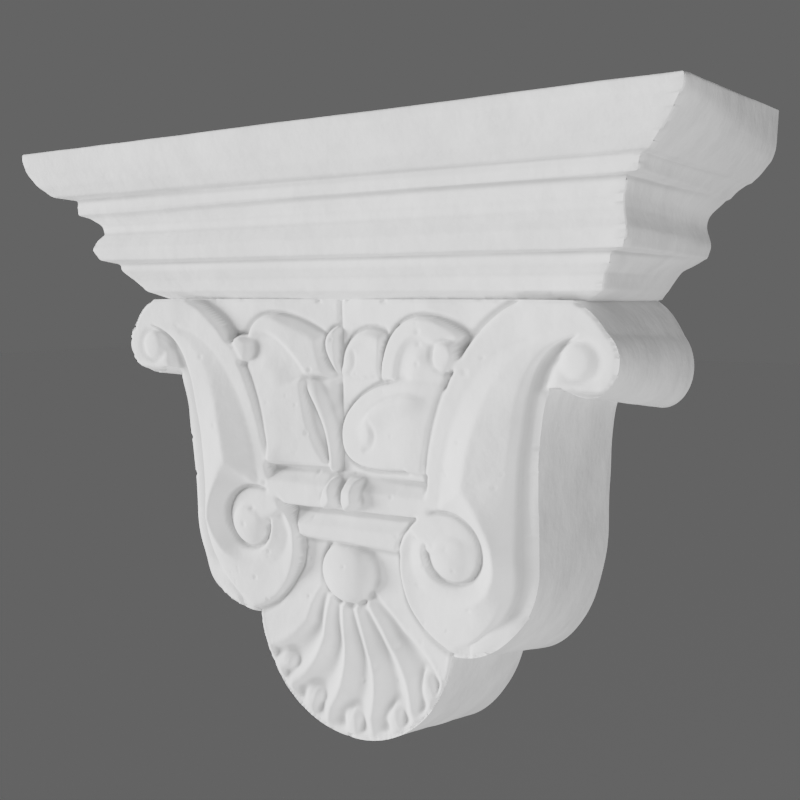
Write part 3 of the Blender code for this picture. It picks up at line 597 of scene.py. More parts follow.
def band_height(x, z):
    """The band that runs down a scroll and twists round its lower volute, and where it lies.

    Across its width the height goes straight from the inner line to the knee and on to the outer
    line. Down the shaft the knee is a crest; round the volute it sinks and becomes a valley.
    """
    inner = np.concatenate([bezier(SCROLL_GROOVE), curl(*GROOVE_TURNS)])
    outer = np.concatenate([drop_line(), curl(*RIM_TURNS)[::-1]])
    here = inside(np.concatenate([inner, outer[::-1]]), x, z)
    to_inner = distance(inner, x, z)
    share = to_inner / np.maximum(to_inner + distance(outer, x, z), 1e-6)
    angle = np.degrees(np.arctan2(z - CURL_CENTRE[1], x - CURL_CENTRE[0]))
    turned = np.where((angle >= 0.0) & (angle < SHAFT_TURN), 0.0, np.mod(-angle, 360.0))
    start, knee, end, place = (np.interp(turned, BAND_TURNS, row)
                               for row in (BAND_INNER, BAND_KNEE, BAND_OUTER, BAND_SHARE))
    shaft = smooth(z, CURL_CENTRE[1], CURL_CENTRE[1] + SHAFT_BLEND) * (turned == 0.0)
    place = mix(place, SHAFT_SHARE, shaft)
    knee = mix(knee, SHELF_RAISE, smooth(z, CREST_FULL, CREST_TOP))
    rising = mix(start, knee, share / place)
    falling = mix(knee, end, (share - place) / (1.0 - place))
    return np.where(share < place, rising, falling), here


def curl_height(x, z):
    """The round end of the lower volute, open to the band at its upper left, and where it lies."""
    across = x - CURL_CENTRE[0]
    up = z - CURL_CENTRE[1]
    angle = np.degrees(np.arctan2(up, across))
    share = np.hypot(across, up) / curl_radius(np.where(angle > CURL_SEAM, angle - 360.0, angle))
    edge = mix(DISC_EDGE, BAND_INNER[-1], smooth(angle, *DISC_OPENS))
    eye = dome(np.hypot(x - CURL_EYE[0], z - CURL_EYE[1]) / CURL_EYE_RADIUS)
    height = mix(CURL_RAISE, edge, np.clip(share, 0.0, 1.0) ** DISC_DISH)
    return height + CURL_EYE_RAISE * eye ** EYE_FULLNESS, inside(curl(*DISC_TURNS), x, z)


def scroll_height(x, z):
    """Height of a scroll above its front plane, at drawing points (x, z) on the right half."""
    band, in_band = band_height(x, z)
    disc, in_disc = curl_height(x, z)
    height = np.where(in_band, band, np.where(in_disc, disc, FILLET_RAISE))
    height = height + cut(curl(*CUT_TURNS), x, z)
    height = mix(height, SHELF_RAISE, smooth(z, *TOP_FLAT_Z) * smooth(x, *TOP_FLAT_X))
    drop = drop_line()
    lip = bezier(RIM_LIP)
    beyond = x > np.interp(-z, -drop[:, 1], drop[:, 0])
    past_drop = np.where(beyond, 1.0, -1.0) * distance(drop, x, z)
    past_lip = np.where(z > lip[-1, 1], x - np.interp(-z, -lip[:, 1], lip[:, 0]), -DROP_WIDTH)
    rim = mix(-RIM_SINK, SHELF_RAISE, smooth(-z, *RIM_RISES))
    on_shelf = smooth(past_drop, -DROP_EDGE, DROP_EDGE) * smooth(z, *DROP_STARTS)
    face = mix(height, SHELF_RAISE, on_shelf)
    on_rim = smooth(past_drop, 0.0, DROP_WIDTH) * (1 - smooth(past_lip, 0.0, SOFT))
    on_rim = on_rim * (z < DROP_HOOK[0][1])
    height = mix(face, rim, on_rim)
    from_eye = np.hypot(x - EYE_CENTRE[0], z - EYE_CENTRE[1])
    eye = mix(SHELF_RAISE - EYE_RING, EYE_RAISE, dome(from_eye / EYE_RADIUS))
    height = np.where(from_eye < EYE_RADIUS, eye, height)
    return height - CUT_SINK * groove(from_eye - EYE_RADIUS - EYE_RING)


def form(line, closing, x, z, height, soft=SOFT):
    """A raised form behind a line: 0 outside, its height within, with a cut at the foot of its edge."""
    deep = reach_in(line, closing, x, z)
    foot = groove(deep + 0.5 * CUT_WIDTH)
    return height * smooth(deep, 0.0, soft) - CUT_SINK * foot, deep


def boss_rise(x, z):
    """The boss at the end of an upper leaf's rolled rim, and the depth of the cut round it."""
    share = np.hypot(x - BOSS_CENTRE[0], z - BOSS_CENTRE[1]) / BOSS_RADIUS
    ring = groove((share - BOSS_RING) * BOSS_RADIUS)
    boss = np.where(share < 1.0, LEAF_RAISE + BOSS_SWELL * dome(share), 0.0)
    return boss, BOSS_RING_SHARE * CUT_SINK * ring


def ridge(deep, edge, fade):
    """A ridge that rises over the distances edge and dies away over the distances fade."""
    return smooth(deep, *edge) * (1.0 - smooth(deep, *fade))


def right_panel(x, z):
    """Rise of the right half's forms: upper leaf, lobe and bud, falling away beyond the fold."""
    fold = np.interp(-z, -bezier(FOLD_RIGHT)[:, 1], bezier(FOLD_RIGHT)[:, 0])
    beyond = np.clip(x - fold, -FALL_ROUND, None) + FALL_ROUND
    beyond = np.where(beyond < 2 * FALL_ROUND, beyond ** 2 / (4 * FALL_ROUND), beyond - FALL_ROUND)
    fall = np.clip(beyond * FALL_SLOPE, 0.0, LEAF_RAISE)
    leaf, _ = form(bezier(RIGHT_LEAF), RIGHT_LEAF_CLOSING, x, z, LEAF_RAISE)
    roll = reach_in(bezier(RIGHT_ROLL), RIGHT_ROLL_CLOSING, x, z)
    leaf = leaf - ROLL_RAISE * ridge(roll, RIGHT_ROLL_EDGE, RIGHT_ROLL_FADE)
    leaf = np.where(z > STEP_Z, leaf - fall, 0.0)
    boss, ring = boss_rise(x, z)
    outline = np.concatenate([bezier(LOBE_TOP), bezier(LOBE_FOOT)[1:]])
    lobe, _ = form(outline, LOBE_CLOSING, x, z, LOBE_RAISE)
    over = reach_in(bezier(LOBE_FOLD), LOBE_FOLD_CLOSING, x, z)
    lobe = lobe + FOLD_RAISE * smooth(x, *FOLD_ACROSS) * ridge(over, FOLD_EDGE, FOLD_FADE)
    to_hook = distance(bezier(LOBE_HOOK), x, z)
    lobe = lobe - HOOK_SHARE * FOLD_RAISE * (1 - smooth(to_hook, 0.0, HOOK_WIDTH))
    lobe = lobe * (z < STEP_Z + LOBE_LAP) - fall
    bud, deep = form(bezier(BUD_RIGHT), BUD_CLOSING, x, z, BUD_RAISE, BUD_BACK)
    bud = bud + BUD_LIP * ridge(deep, BUD_LIP_STARTS, BUD_LIP_FADES)
    bud = bud * mix(BUD_FOOT_SHARE, 1.0, smooth(z, *BUD_RISES))
    bud = bud + HOOK_SHARE * cut(bezier(BUD_HOOK), x, z) * (deep > 0)
    forms = np.where(z < STEP_Z, lobe, leaf)
    forms = np.where(boss > 0.0, np.maximum(forms, boss), forms - ring)
    in_bud = (deep > -BUD_MARGIN) & (z > STEP_Z) & (leaf < LEAF_OVER_BUD)
    return np.where(in_bud, np.minimum(leaf, 0.0) + bud, forms)


def left_panel(x, z):
    """Rise of the left half's forms, as distances x from the middle: upper leaf, strand and bud."""
    outline = np.concatenate([bezier(LEFT_LEAF), bezier(LEFT_LEAF_SIDE)[1:]])
    leaf, deep = form(outline, LEFT_LEAF_CLOSING, x, z, LEAF_RAISE, LEFT_SOFT)
    roll = reach_in(bezier(LEFT_ROLL), LEFT_ROLL_CLOSING, x, z)
    inner = ROLL_RAISE * ridge(roll, LEFT_ROLL_EDGE, LEFT_ROLL_FADE)
    facet = smooth(deep, 0.0, mix(LEFT_SOFT, LEAF_FACET, 1.0 - smooth(x, *FACET_ACROSS)))
    leaf = np.where(z > STEP_Z, np.minimum(leaf, LEAF_RAISE * facet), 0.0) - inner * (x > LEFT_ROLL_X)
    boss, ring = boss_rise(x - LEFT_BOSS_SHIFT, z)
    lower, _ = form(bezier(LEAF_EDGE), LEAF_EDGE_CLOSING, x, z, LEAF_RAISE, LEFT_SOFT)
    body = np.where(z > STEP_Z, leaf, lower - inner)
    body = body - np.clip((x - LEFT_FALL_X) * LEFT_FALL_SLOPE, 0.0, LEAF_RAISE)
    forms = np.where(boss > 0.0, np.maximum(body, boss), body - ring)
    width = mix(*STRAND_WIDTHS, smooth(-z, *STRAND_TAPER))
    share = distance(bezier(STRAND_LINE), x, z) / (width / 2)
    strand = STRAND_RAISE * dome(share) * mix(STRAND_START_SHARE, 1.0, smooth(-z, *STRAND_RISES))
    forms = np.where(z < STEP_Z, np.maximum(forms, strand), forms)
    step = groove(z - STEP_Z + STEP_UNDER)
    almond = ridge(-z, ALMOND_TOP, ALMOND_FOOT) * (1.0 - smooth(x, *ALMOND_SIDE)) * (share > 1.0)
    forms = forms - STEP_SHARE * CUT_SINK * step * ridge(x, STEP_STARTS, STEP_ENDS) - CUT_SINK * almond
    bud, deep = form(bezier(BUD_LEFT), BUD_LEFT_CLOSING, x, z, BUD_RAISE, BUD_LEFT_SOFT)
    bud = bud * mix(BUD_LEFT_FOOT_SHARE, 1.0, smooth(z, *BUD_LEFT_RISES))
    return np.where((deep > -BUD_MARGIN) & (z > STEP_Z - LOBE_LAP), bud, forms)


def panel_depth(x, z, side):
    """Depth of the panel: its folded ground with the forms of either half."""
    to_crease = np.abs(side * x - PANEL_CREASE_X)
    ground = PANEL_DEPTH + PANEL_SLOPE * to_crease
    ground = ground - CREASE_SHARE * CUT_SINK * groove(to_crease)
    flare = FLARE_DEPTH * smooth(x, *FLARE_ACROSS) * smooth(-z, *FLARE_DOWN) * (side < 0)
    forms = np.where(side * x > PANEL_CREASE_X, right_panel(side * x, z), left_panel(x, z))
    return ground + forms + flare


def tab_rise(x, z):
    """The two leaf tips that hang over the ledge, each tilted to the left; x is signed here."""
    rise = np.zeros(x.shape)
    for corners in (LEFT_TAB, RIGHT_TAB):
        outline = np.array(corners + corners[:1])
        deep = reach_in(outline, (), x, z)
        tilt = TAB_TILT * (x - outline[:, 0].mean())
        rise = np.maximum(rise, smooth(deep, *TAB_EDGE) * (TAB_RAISE + tilt))
    return rise


def ledge_depth(x, z, side):
    """Depth of the ledge with its tabs, the recess that slopes out below it and the moulding.

    The ledge's foot and the recess tilt down to the right, and the border runs past both ends.
    """
    levels, depths = zip(*LEDGE_PROFILE)
    tilt = LEDGE_TILT * side * np.clip(x / LEDGE_HALF_WIDTH, 0.0, 1.0) * smooth(-z, *LEDGE_TILT_DOWN)
    tilt = tilt * (z > LEDGE_TILT_END)
    depth = np.interp(-z + tilt, np.negative(levels), depths)
    border = np.where(z > LEDGE_FOOT - LEDGE_UNDER, depth, BORDER_DEPTH)
    ends = smooth(x, LEDGE_HALF_WIDTH - LEDGE_BLEND, LEDGE_HALF_WIDTH + LEDGE_BLEND)
    return mix(depth, border, ends) + tab_rise(side * x, z)


def fan_depth(x, z):
    """Depth of the fan of hollow flutes, whose arrises spread and sway; x is signed here."""
    edge = np.hypot(x / SHELL_HALF_WIDTH, (z - SHELL_Z) / SHELL_REACH)
    to_edge = (1 - edge) * SHELL_REACH
    radius = np.hypot(x, z - FAN_Z)
    spread = 1 - FAN_SPREAD * np.clip(1 - radius / FAN_SPREAD_END, 0.0, 1.0)
    along = np.clip((radius - FAN_SWAY_FROM) / (FAN_SWAY_TO - FAN_SWAY_FROM), 0.0, 1.0)
    angle = (np.arctan2(x, FAN_Z - z) - FAN_SWAY * np.sin(math.pi * along)) * spread
    off_middle = 2 * np.mod(angle / FLUTE_PITCH + 0.5, 1.0) - 1
    in_fan = np.abs(angle) < FLUTE_COUNT / 2 * FLUTE_PITCH
    start = mix(FLUTE_START_SHARE, 1.0, smooth(radius, BALL_RADIUS, FLUTE_FULL_FROM))
    hollow = FLUTE_DEPTH * (1 - np.abs(off_middle) ** FLUTE_POWER) * start
    across = off_middle * FLUTE_PITCH / 2 * radius
    tongue = 1.0 - np.hypot(np.clip(to_edge - TONGUE_IN, 0.0, None), across) / TONGUE_RADIUS
    steep = np.where(across > 0, TONGUE_STEEP, TONGUE_SOFT)
    hollow = mix(hollow, TONGUE_SINK, smooth(tongue, 0.0, steep))
    fan = np.where(in_fan, SHELL_RIM_DEPTH - hollow, SHELL_RIM_DEPTH - BESIDE_FAN)
    rim = (1 - smooth(to_edge, *FLUTE_RIM)) * (z < SHELL_Z + RIM_TOP)
    return mix(fan, SHELL_RIM_DEPTH - RIM_UNDER, rim)


def shell_depth(x, z):
    """Depth of the shell with the ball at its top; x is signed here."""
    depth = mix(fan_depth(x, z), SHELL_DEPTH, smooth(z, *FAN_TOP))
    from_ball = np.hypot(x - BALL_CENTRE[0], z - BALL_CENTRE[1])
    gap = 1 - smooth(np.abs(from_ball - BALL_RADIUS - BALL_CUT_OUT), 0.0, BALL_CUT_WIDTH)
    shaded = smooth(BALL_CENTRE[0] - x + BALL_CENTRE[1] - z, *BALL_SHADE)
    depth = depth - BALL_SINK * gap * shaded * smooth(-z, *BALL_SHADE_DOWN)
    ball_depth = SHELL_DEPTH + BALL_RAISE * dome(from_ball / BALL_RADIUS) ** BALL_FULLNESS
    return np.where(from_ball < BALL_RADIUS, np.maximum(depth, ball_depth), depth)


def relief(x, z):
    """Depth of the carved front from the wall: the ledge, panel, ball and shell, then the scrolls."""
    side = np.where(x < 0, -1.0, 1.0)
    depth = np.where(z < MOULDING_FOOT, shell_depth(x, z), ledge_depth(np.abs(x), z, side))
    x = np.abs(x)
    depth = np.where(z > LEDGE_TOP, panel_depth(x, z, side), depth)
    border = np.concatenate([bezier(SCROLL_EDGE), curl(*BORDER_TURNS)])
    deep = reach_in(border, BORDER_CLOSING, x, z)
    front_plane = BODY_DEPTH + FORWARD_LEAN * (z - LEAN_LEVEL)
    scroll = front_plane + scroll_height(x, z)
    foot = groove(deep + 0.5 * CUT_WIDTH)
    foot = foot * np.maximum(smooth(z, *EDGE_CUT_UP), smooth(-z, *EDGE_CUT_DOWN))
    soft = SOFT * mix(1.0, EDGE_SOFT_TIMES, smooth(-z, *EDGE_SOFT_DOWN))
    return mix(depth - CUT_SINK * foot, scroll, smooth(deep / soft, *EDGE_FROM_TO))


def average(values, passes):
    """Each row averaged with the rows beside it, weights 1-2-1, in place; the first and last stay."""
    for _ in range(passes):
        values[1:-1] = (values[:-2] + 2 * values[1:-1] + values[2:]) / 4
    return values


def blur(values, passes):
    """A grid averaged in place along its columns and along its rows, turn about."""
    for _ in range(passes):
        average(average(values, 1).T, 1)
    return values


def new_object(name, points, faces, slot, painted_shade=None):
    """A mesh object from an array of points in millimetres and its faces, flat and at the origin.

    Each point keeps a value of painted shade, which is 0 on open surface and 1 in the sharp hollows.
    """
    mesh = bpy.data.meshes.new(name)
    mesh.from_pydata((points * MM).tolist(), [], faces)
    values = np.zeros(len(points)) if painted_shade is None else painted_shade
    mesh.attributes.new("painted_shade", "FLOAT", "POINT").data.foreach_set("value", values)
    mesh.materials.append(slot)
    item = bpy.data.objects.new(name, mesh)
    bpy.context.scene.collection.objects.link(item)
    return item


def quads(rows, columns, around=False):
    """Faces of a grid of rows and columns of points; around joins the last column to the first."""
    index = np.arange(rows * columns).reshape(rows, columns)
    if around:
        index = np.concatenate([index, index[:, :1]], axis=1)
    corners = (index[:-1, :-1], index[:-1, 1:], index[1:, 1:], index[1:, :-1])
    return np.stack([corner.ravel() for corner in corners], axis=-1).tolist()


def spaced(*stops):
    """Places along an axis through the stops, each stretch with its own step: stop, step, stop ..."""
    parts = [np.array([stops[0]])]
    for first, step, last in zip(stops[:-2:2], stops[1:-1:2], stops[2::2]):
        count = max(1, round(abs(last - first) / step))
        parts.append(np.linspace(first, last, count + 1)[1:])
    return np.concatenate(parts)


def slab_places(levels):
    """The slab's grid of (x, z): a row for each level, whose columns keep to both edges of the drop.

    Each row is shared out between the middle, the fine panel's side, the drop's top edge, its foot and
    the slab's side; the left half mirrors the right.
    """
    drop = drop_line()
    edge = np.interp(-levels, -drop[:, 1], drop[:, 0])
    stops = (0.0 * edge, FINE_HALF_WIDTH + 0.0 * edge, edge, edge + DROP_WIDTH,
             BODY_HALF_WIDTH + SLAB_MARGIN + 0.0 * edge)
    right = [stops[0][:, None]]
    for first, last, count in zip(stops[:-1], stops[1:], SLAB_COLUMNS):
        right.append(mix(first[:, None], last[:, None], np.linspace(0.0, 1.0, count + 1)[1:]))
    right = np.concatenate(right, axis=1)
    x = np.concatenate([-right[:, :0:-1], right], axis=1)
    return x, np.broadcast_to(levels[:, None], x.shape)


def pits(x, z):
    """Depth of the air-bubble pits: round hollows at random places, most small, the wider the deeper."""
    random = np.random.default_rng(seed=31)
    low, high = PIT_AREA
    depth = np.zeros(x.shape)
    for across, up, size in random.uniform((*low, 0.0), (*high, 1.0), (PIT_COUNT, 3)):
        radius = mix(*PIT_RADII, size ** 3)
        near = np.hypot(x - across, z - up) / radius
        depth = np.maximum(depth, PIT_DEPTH * (0.5 + size) * (1.0 - smooth(near, 0.0, 1.0)))
    return depth


def carved_slab(slot):
    """The carved front: a grid whose depth is the relief, closed by a skirt and a back behind the wall.

    Near the outline the depth falls by a quarter round, so that the cut edge is soft. A point's painted
    shade grows with how far it lies behind the depths round it.
    """
    x, z = slab_places(spaced(SLAB_FOOT, PLAIN_STEP, FINE_FOOT, FINE_STEP, SLAB_TOP))
    depth = blur(relief(x.ravel(), z.ravel()).reshape(x.shape), CAST_PASSES)
    soft = blur(depth.copy(), HOLLOW_PASSES)
    hollowness = blur(soft.copy(), SHADE_PASSES) - soft
    front, _ = half_outlines()
    to_cut = distance(front, np.abs(x).ravel(), z.ravel()).reshape(x.shape)
    lack = np.clip(EDGE_ROUND - to_cut, 0.0, EDGE_ROUND)
    depth = depth - EDGE_ROUND + np.sqrt(EDGE_ROUND ** 2 - lack ** 2)
    long, short = SLAB_WAVES
    depth = depth + UNEVEN * uneven(x, z, long, seed=3)
    depth = depth + SLAB_SECOND * UNEVEN * uneven(x, z, short, seed=4)
    chips = smooth(uneven(x, z, CHIP_SIZE, seed=21), *CHIP_LEVELS)
    depth = depth - CHIP_DEPTH * chips * (1.0 - smooth(to_cut, 0.0, CHIP_REACH)) - pits(x, z)
    points = np.stack([x, -depth, z], axis=-1).reshape(-1, 3)
    index = np.arange(x.size).reshape(x.shape)
    loop = np.concatenate([index[0], index[1:, -1], index[-1, -2::-1], index[-2:0:-1, 0]])
    behind = points[loop]
    behind[:, 1] = BEHIND
    back = x.size + np.arange(loop.size)
    skirt = np.stack([loop, back, np.roll(back, -1), np.roll(loop, -1)], axis=-1).tolist()
    faces = quads(*x.shape) + skirt + [back.tolist()[::-1]]
    # Painted shade in the hollows of the front; none on the skirt and back
    painted_shade = np.concatenate([smooth(hollowness, *SHADE_FROM_TO).ravel(), np.zeros(loop.size)])
    return new_object("plaster_console_cast", np.concatenate([points, behind]), faces, slot, painted_shade)


def outline_loft(slot):
    """The body's outline as a closed loft from the wall forward.

    Straight lines join the wall's outline to the front plane's and run on past the relief. Each point
    drifts a little, as cast work does.
    """
    front, wall = half_outlines()
    reach = BODY_DEPTH + LOFT_BEYOND
    ys = np.linspace(0.0, reach, round(reach / SIDE_STEP) + 1)
    front, wall = (np.concatenate([half, (half * (-1, 1))[-2:0:-1]]) for half in (front, wall))
    flat = wall + (front - wall) * (ys / BODY_DEPTH)[:, None, None]
    x, z = flat[..., 0], flat[..., 1]
    y = np.broadcast_to(-ys[:, None], x.shape)
    below_top = smooth(-z, -BODY_TOP, -BODY_TOP + SIDE_TRUE)
    x = x + UNEVEN * below_top * uneven(y, z, SIDE_WAVE, seed=5)
    z = z + UNEVEN * below_top * uneven(x, y, SIDE_WAVE, seed=6)
    points = np.stack([x, y, z], axis=-1)
    rows, columns = x.shape
    last = (rows - 1) * columns + np.arange(columns)
    faces = quads(rows, columns, around=True) + [list(range(columns))[::-1], last.tolist()]
    return new_object("outline", points.reshape(-1, 3), faces, slot)


def cornice_profile():
    """The cornice's profiles at its left and right mitre, as rows of inset from the fascia and height.

    Both are walked in the same number of even steps between their corners, from the neck up over the
    top's edge, and averaged with their neighbours, which wears the arrises.
    """
    runs = []
    for run in (LEFT_RUN, RIGHT_RUN):
        neck = run[0][0] + UNDERCUT
        runs.append(np.array(((neck, -NECK_SINK), (neck, 0.0)) + run + ((TOP_INSET, run[-1][1]),)))
    lengths = np.hypot(*np.diff((runs[0] + runs[1]) / 2, axis=0).T)
    counts = np.maximum(1, np.round(lengths / PROFILE_STEP)).astype(int)
    places = np.concatenate([[0.0]] + [i + np.arange(1, n + 1) / n for i, n in enumerate(counts)])
    corners = np.arange(len(runs[0]))
    lines = [np.stack([np.interp(places, corners, part) for part in run.T], axis=-1) for run in runs]
    return [average(line, ARRIS_PASSES) for line in lines]


def cornice_path():
    """The way round the cornice, from the wall round both mitres and back to the wall.

    Each place has its share across (-1 to 1) and forward (0 to 1) of the rectangle between the
    mitres' round corners, and its distances out and ahead of that rectangle. The last value counts
    the places up to the middle of the left mitre.
    """
    side_run = np.linspace(0.0, 1.0, round((CORNICE_DEPTH - MITRE_ROUND) / RUN_STEP) + 1)[:-1]
    front_steps = round((CORNICE_WIDTH - 2 * MITRE_ROUND) / RUN_STEP)
    front_run = np.linspace(-1.0, 1.0, front_steps + 1)[1:-1]
    turn = np.linspace(0.0, math.pi / 2, MITRE_STEPS + 1)
    side, corner, front = (np.ones(run.size) for run in (side_run, turn, front_run))
    across = np.concatenate([-side, -corner, front_run, corner, side])
    forward = np.concatenate([side_run, corner, front, corner, side_run[::-1]])
    out = np.concatenate([-side, -np.cos(turn), 0.0 * front, np.cos(turn)[::-1], side])
    ahead = np.concatenate([0.0 * side, np.sin(turn), front, np.sin(turn)[::-1], 0.0 * side])
    return across, forward, MITRE_ROUND * out, MITRE_ROUND * ahead, side.size + MITRE_STEPS // 2


def cornice(slot):
    """The cornice: its two profiles blended along the front and worn plainer towards the wall.

    Each point lies its inset inside the path round the fascia. The cast drifts a little inward and up
    and down along its run, with chips at the mitres, and its top slopes up to the wall.
    """
    left, right = cornice_profile()
    top = left[-1, 1]
    across, forward, out, ahead, mitre = cornice_path()
    share = (across + 1.0) / 2
    inset = mix(left[:, :1], right[:, :1], share)
    height = mix(left[:, 1:], right[:, 1:], share)
    plain = average(np.interp(height, SIDE_HEIGHTS, SIDE_INSETS), WORN_PASSES)
    worn = (height > SIDE_HEIGHTS[0]) & (height < SIDE_HEIGHTS[-1])
    side_inset = np.where(worn, mix(plain, inset, smooth(forward, 0.0, 1.0)), inset)
    x = across * (CORNICE_WIDTH / 2 - MITRE_ROUND - side_inset) + out
    y = forward * (CORNICE_DEPTH - MITRE_ROUND - inset) + ahead
    along = np.cumsum(np.hypot(*np.gradient(np.stack([x[-1], y[-1]]), axis=1)))[None, :]
    on_top = smooth(inset, *TOP_TRUE_IN) * (height > top - TOP_TRUE_UNDER)
    free = smooth(height, *DRIFT_FROM) * (1 - on_top)
    long, short = DRIFT_WAVES
    drift = uneven(along, DRIFT_UP * height, long, seed=8)
    drift = drift + DRIFT_SECOND * uneven(along, height, short, seed=9)
    drift = UNEVEN * free * np.minimum(drift - DRIFT_SHIFT, 0.0)
    at_mitre = 1.0 - smooth(np.abs(along - along[:, [mitre]]), 0.0, CHIP_REACH)
    at_mitre = np.maximum(at_mitre, at_mitre[:, ::-1])
    chips = smooth(uneven(0.0, height, MITRE_CHIP_SIZE, seed=12), *MITRE_CHIP_LEVELS)
    drift = drift - CHIP_DEPTH * free * at_mitre * chips
    long, short = LIFT_WAVES
    lift = uneven(along, height, long, seed=10) + LIFT_SECOND * uneven(along, height, short, seed=11)
    from_wall = smooth(y, 0.0, WALL_TRUE)
    x = x * (1 + drift / (CORNICE_WIDTH / 2))
    y = y + drift * from_wall * (ahead > 0.0)
    z = height + UNEVEN * free * lift * from_wall
    slope = smooth(height, top - FASCIA_HEIGHT - FASCIA_LAP, top - FASCIA_LAP)
    z = z + TOP_RISE * (1 - y / CORNICE_DEPTH) * slope
    points = np.stack([x, -y, z], axis=-1)
    rows, columns = x.shape
    index = np.arange(rows * columns).reshape(rows, columns)
    back = np.concatenate([index[:, 0], index[::-1, -1]])
    faces = quads(rows, columns) + [index[0].tolist()[::-1], index[-1].tolist(), back.tolist()]
    return new_object("cornice", points.reshape(-1, 3), faces, slot)


def paint_hollow_shade(mesh):
    """Sets the painted shade of the sharp hollows on the joined mesh: the slab's values stay on the
    carved front alone.

    The cornice takes a value at each height from how far its profile lies behind the same profile
    averaged along itself, and this fades towards the wall.
    """
    places = np.empty(3 * len(mesh.vertices))
    mesh.vertices.foreach_get("co", places)
    places = places.reshape(-1, 3) / MM
    facing = np.array([item.vector[1] for item in mesh.vertex_normals])
    marks = mesh.attributes["painted_shade"].data
    values = np.empty(len(marks))
    marks.foreach_get("value", values)
    mitres = []
    for profile in cornice_profile():
        even = average(profile.copy(), SHADE_PASSES)
        slope = np.gradient(profile, axis=0)
        outward = np.stack([-slope[:, 1], slope[:, 0]], axis=-1) / np.hypot(*slope.T)[:, None]
        profile_shade = smooth(((even - profile) * outward).sum(axis=1), *SHADE_FROM_TO)
        mitres.append(np.interp(places[:, 2], profile[:, 1], profile_shade))
    share = np.clip(places[:, 0] / CORNICE_WIDTH + 0.5, 0.0, 1.0)
    cornice_shade = mix(*mitres, share) * smooth(-places[:, 1], 0.0, BODY_DEPTH)
    values = np.where(places[:, 2] > BODY_TOP, cornice_shade, values * (facing < FRONT_SLANT))
    marks.foreach_set("value", values)


def boolean(target, operation, other):
    """Adds an exact Boolean of the target with another closed mesh."""
    step = target.modifiers.new(operation.lower(), "BOOLEAN")
    step.operation = operation
    step.solver = "EXACT"
    step.object = other


def cast_console(slot):
    """The whole casting: the carved slab cut to the outline and joined to the cornice, as one mesh."""
    console = carved_slab(slot)
    tools = [outline_loft(slot), cornice(slot)]
    boolean(console, "INTERSECT", tools[0])
    boolean(console, "UNION", tools[1])
    bpy.context.view_layer.update()
    graph = bpy.context.evaluated_depsgraph_get()
    mesh = bpy.data.meshes.new_from_object(console.evaluated_get(graph))
    console.modifiers.clear()
    console.data = mesh
    paint_hollow_shade(mesh)
    for tool in tools:
        bpy.data.objects.remove(tool, do_unlink=True)
    mesh.shade_smooth()
    mesh.set_sharp_from_angle(angle=SHARP_ANGLE)
    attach(console, "root")
    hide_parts("plaster_console")


def linear(colour):
    """An sRGB hex colour as linear red, green, blue and full alpha."""
    channels = [int(colour[i:i + 2], 16) / 255 for i in (1, 3, 5)]
    return [c / 12.92 if c <= 0.04045 else ((c + 0.055) / 1.055) ** 2.4 for c in channels] + [1.0]


def node(tree, kind, settings=None, **inputs):
    """Adds a node with its settings, and sets or links its inputs by name; a space is written _."""
    made = tree.nodes.new(kind)
    for name, value in (settings or {}).items():
        setattr(made, name, value)
    for name, value in inputs.items():
        socket = made.inputs[name.replace("_", " ")]
        if isinstance(value, bpy.types.NodeSocket):
            tree.links.new(value, socket)
        else:
            socket.default_value = value
    return made


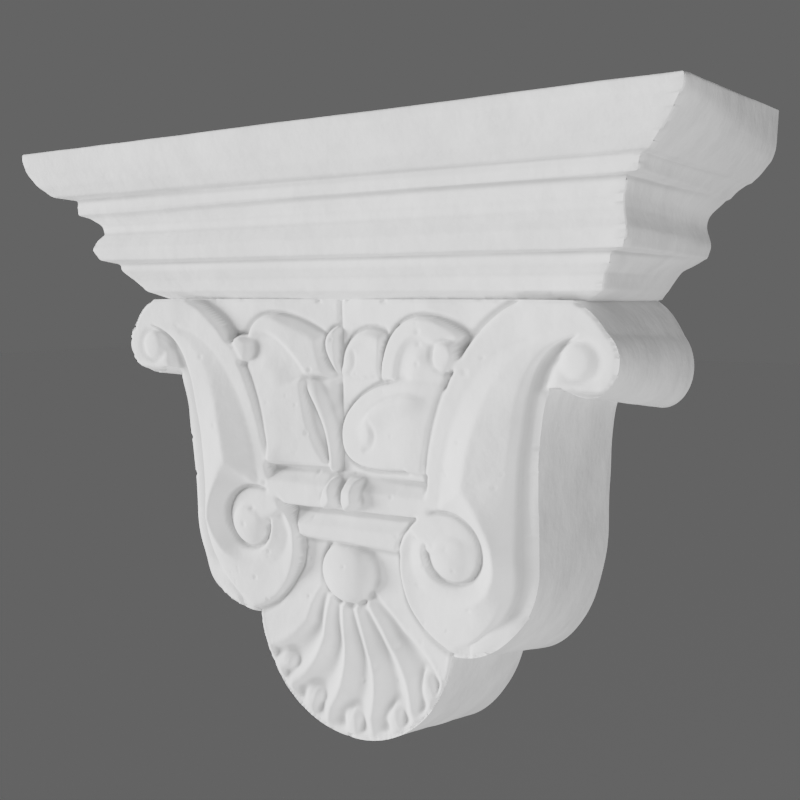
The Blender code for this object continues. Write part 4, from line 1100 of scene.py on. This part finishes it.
def cast_gypsum_plaster():
    """White gypsum plaster, cast in a mould, rubbed down and left bare.

    It gives the eye a dead matt white with faint clouds, a soft swell and a fine grain. A greyer tone is
    painted into the sharp hollows as shade. A pattern's scale is its whole repeats in a metre.
    """
    material = bpy.data.materials.new("cast_gypsum_plaster")
    material.use_nodes = True
    tree = material.node_tree
    surface = tree.nodes["Principled BSDF"]
    surface.inputs["Roughness"].default_value = 0.88
    surface.inputs["Specular IOR Level"].default_value = 0.3
    place = node(tree, "ShaderNodeTexCoord").outputs["Object"]
    clouds, swell, grain = (round(1.0 / (size * MM)) for size in (CLOUD_SIZE, SWELL_SIZE, GRAIN_SIZE))
    cloud = node(tree, "ShaderNodeTexNoise", Vector=place, Scale=clouds, Detail=4.0, Roughness=0.55)
    tint = node(tree, "ShaderNodeValToRGB", Fac=cloud.outputs["Fac"])
    for stop, position, colour in zip(tint.color_ramp.elements, CLOUD_SPREAD, CLOUD_TONES):
        stop.position = position
        stop.color = linear(colour)
    # Painted shade: the base colour turns from the clouded white to grey in the sharp hollows
    painted_shade = node(tree, "ShaderNodeAttribute", {"attribute_name": "painted_shade"}).outputs["Fac"]
    shade = node(tree, "ShaderNodeMix", {"data_type": "RGBA"}, Factor=painted_shade)
    tree.links.new(tint.outputs["Color"], shade.inputs[MIX_FIRST])
    shade.inputs[MIX_SECOND].default_value = linear(PAINTED_SHADE_TONE)
    tree.links.new(shade.outputs[MIX_RESULT], surface.inputs["Base Color"])
    skin = node(tree, "ShaderNodeTexNoise", Vector=place, Scale=grain, Detail=3.0, Roughness=0.6)
    wave = node(tree, "ShaderNodeTexNoise", Vector=place, Scale=swell, Detail=3.0, Roughness=0.5)
    fine = node(tree, "ShaderNodeBump", Strength=0.25, Distance=GRAIN_HEIGHT * MM,
                Height=skin.outputs["Fac"])
    coarse = node(tree, "ShaderNodeBump", Strength=0.5, Distance=SWELL_HEIGHT * MM,
                  Height=wave.outputs["Fac"], Normal=fine.outputs["Normal"])
    tree.links.new(coarse.outputs["Normal"], surface.inputs["Normal"])
    return material


def area_light(name, place, aim, size, power):
    """A square soft light at a place, turned to face a point."""
    lamp = bpy.data.lights.new(name, "AREA")
    lamp.shape = "SQUARE"
    lamp.size = size
    lamp.energy = power
    item = bpy.data.objects.new(name, lamp)
    item.location = place
    item.rotation_euler = (Vector(aim) - Vector(place)).to_track_quat("-Z", "Y").to_euler()
    bpy.context.scene.collection.objects.link(item)


def studio():
    """A plain pale floor far below the console, an even surround, and the lamps."""
    pale = bpy.data.materials.new("pale_floor")
    pale.use_nodes = True
    paint = pale.node_tree.nodes["Principled BSDF"]
    paint.inputs["Base Color"].default_value = linear(FLOOR_TONE)
    paint.inputs["Roughness"].default_value = 0.9
    corners = np.array([(-1, -1), (1, -1), (1, 1), (-1, 1)]) * FLOOR_REACH
    corners = np.insert(corners, 2, FLOOR_Z, axis=1)
    new_object("floor", corners, [(0, 1, 2, 3)], pale)
    world = bpy.data.worlds.new("studio")
    world.use_nodes = True
    surround = world.node_tree.nodes["Background"]
    surround.inputs["Color"].default_value = linear(SURROUND_TONE)
    surround.inputs["Strength"].default_value = 1.0
    bpy.context.scene.world = world
    for lamp in LAMPS:
        area_light(*lamp)


def photo_camera():
    """The camera at the photograph's viewing angle, from a fit to the console's own straight edges."""
    lens = bpy.data.cameras.new("photo_view")
    lens.sensor_width = CAMERA_SENSOR
    lens.lens = CAMERA_LENS
    lens.clip_start = CAMERA_NEAR
    camera = bpy.data.objects.new("photo_view", lens)
    camera.location = CAMERA_PLACE
    camera.rotation_euler = (math.radians(90.0 - CAMERA_TILT), 0.0, math.radians(CAMERA_TURN))
    bpy.context.scene.collection.objects.link(camera)
    bpy.context.scene.camera = camera


photo_camera()
studio()
cast_console(cast_gypsum_plaster())
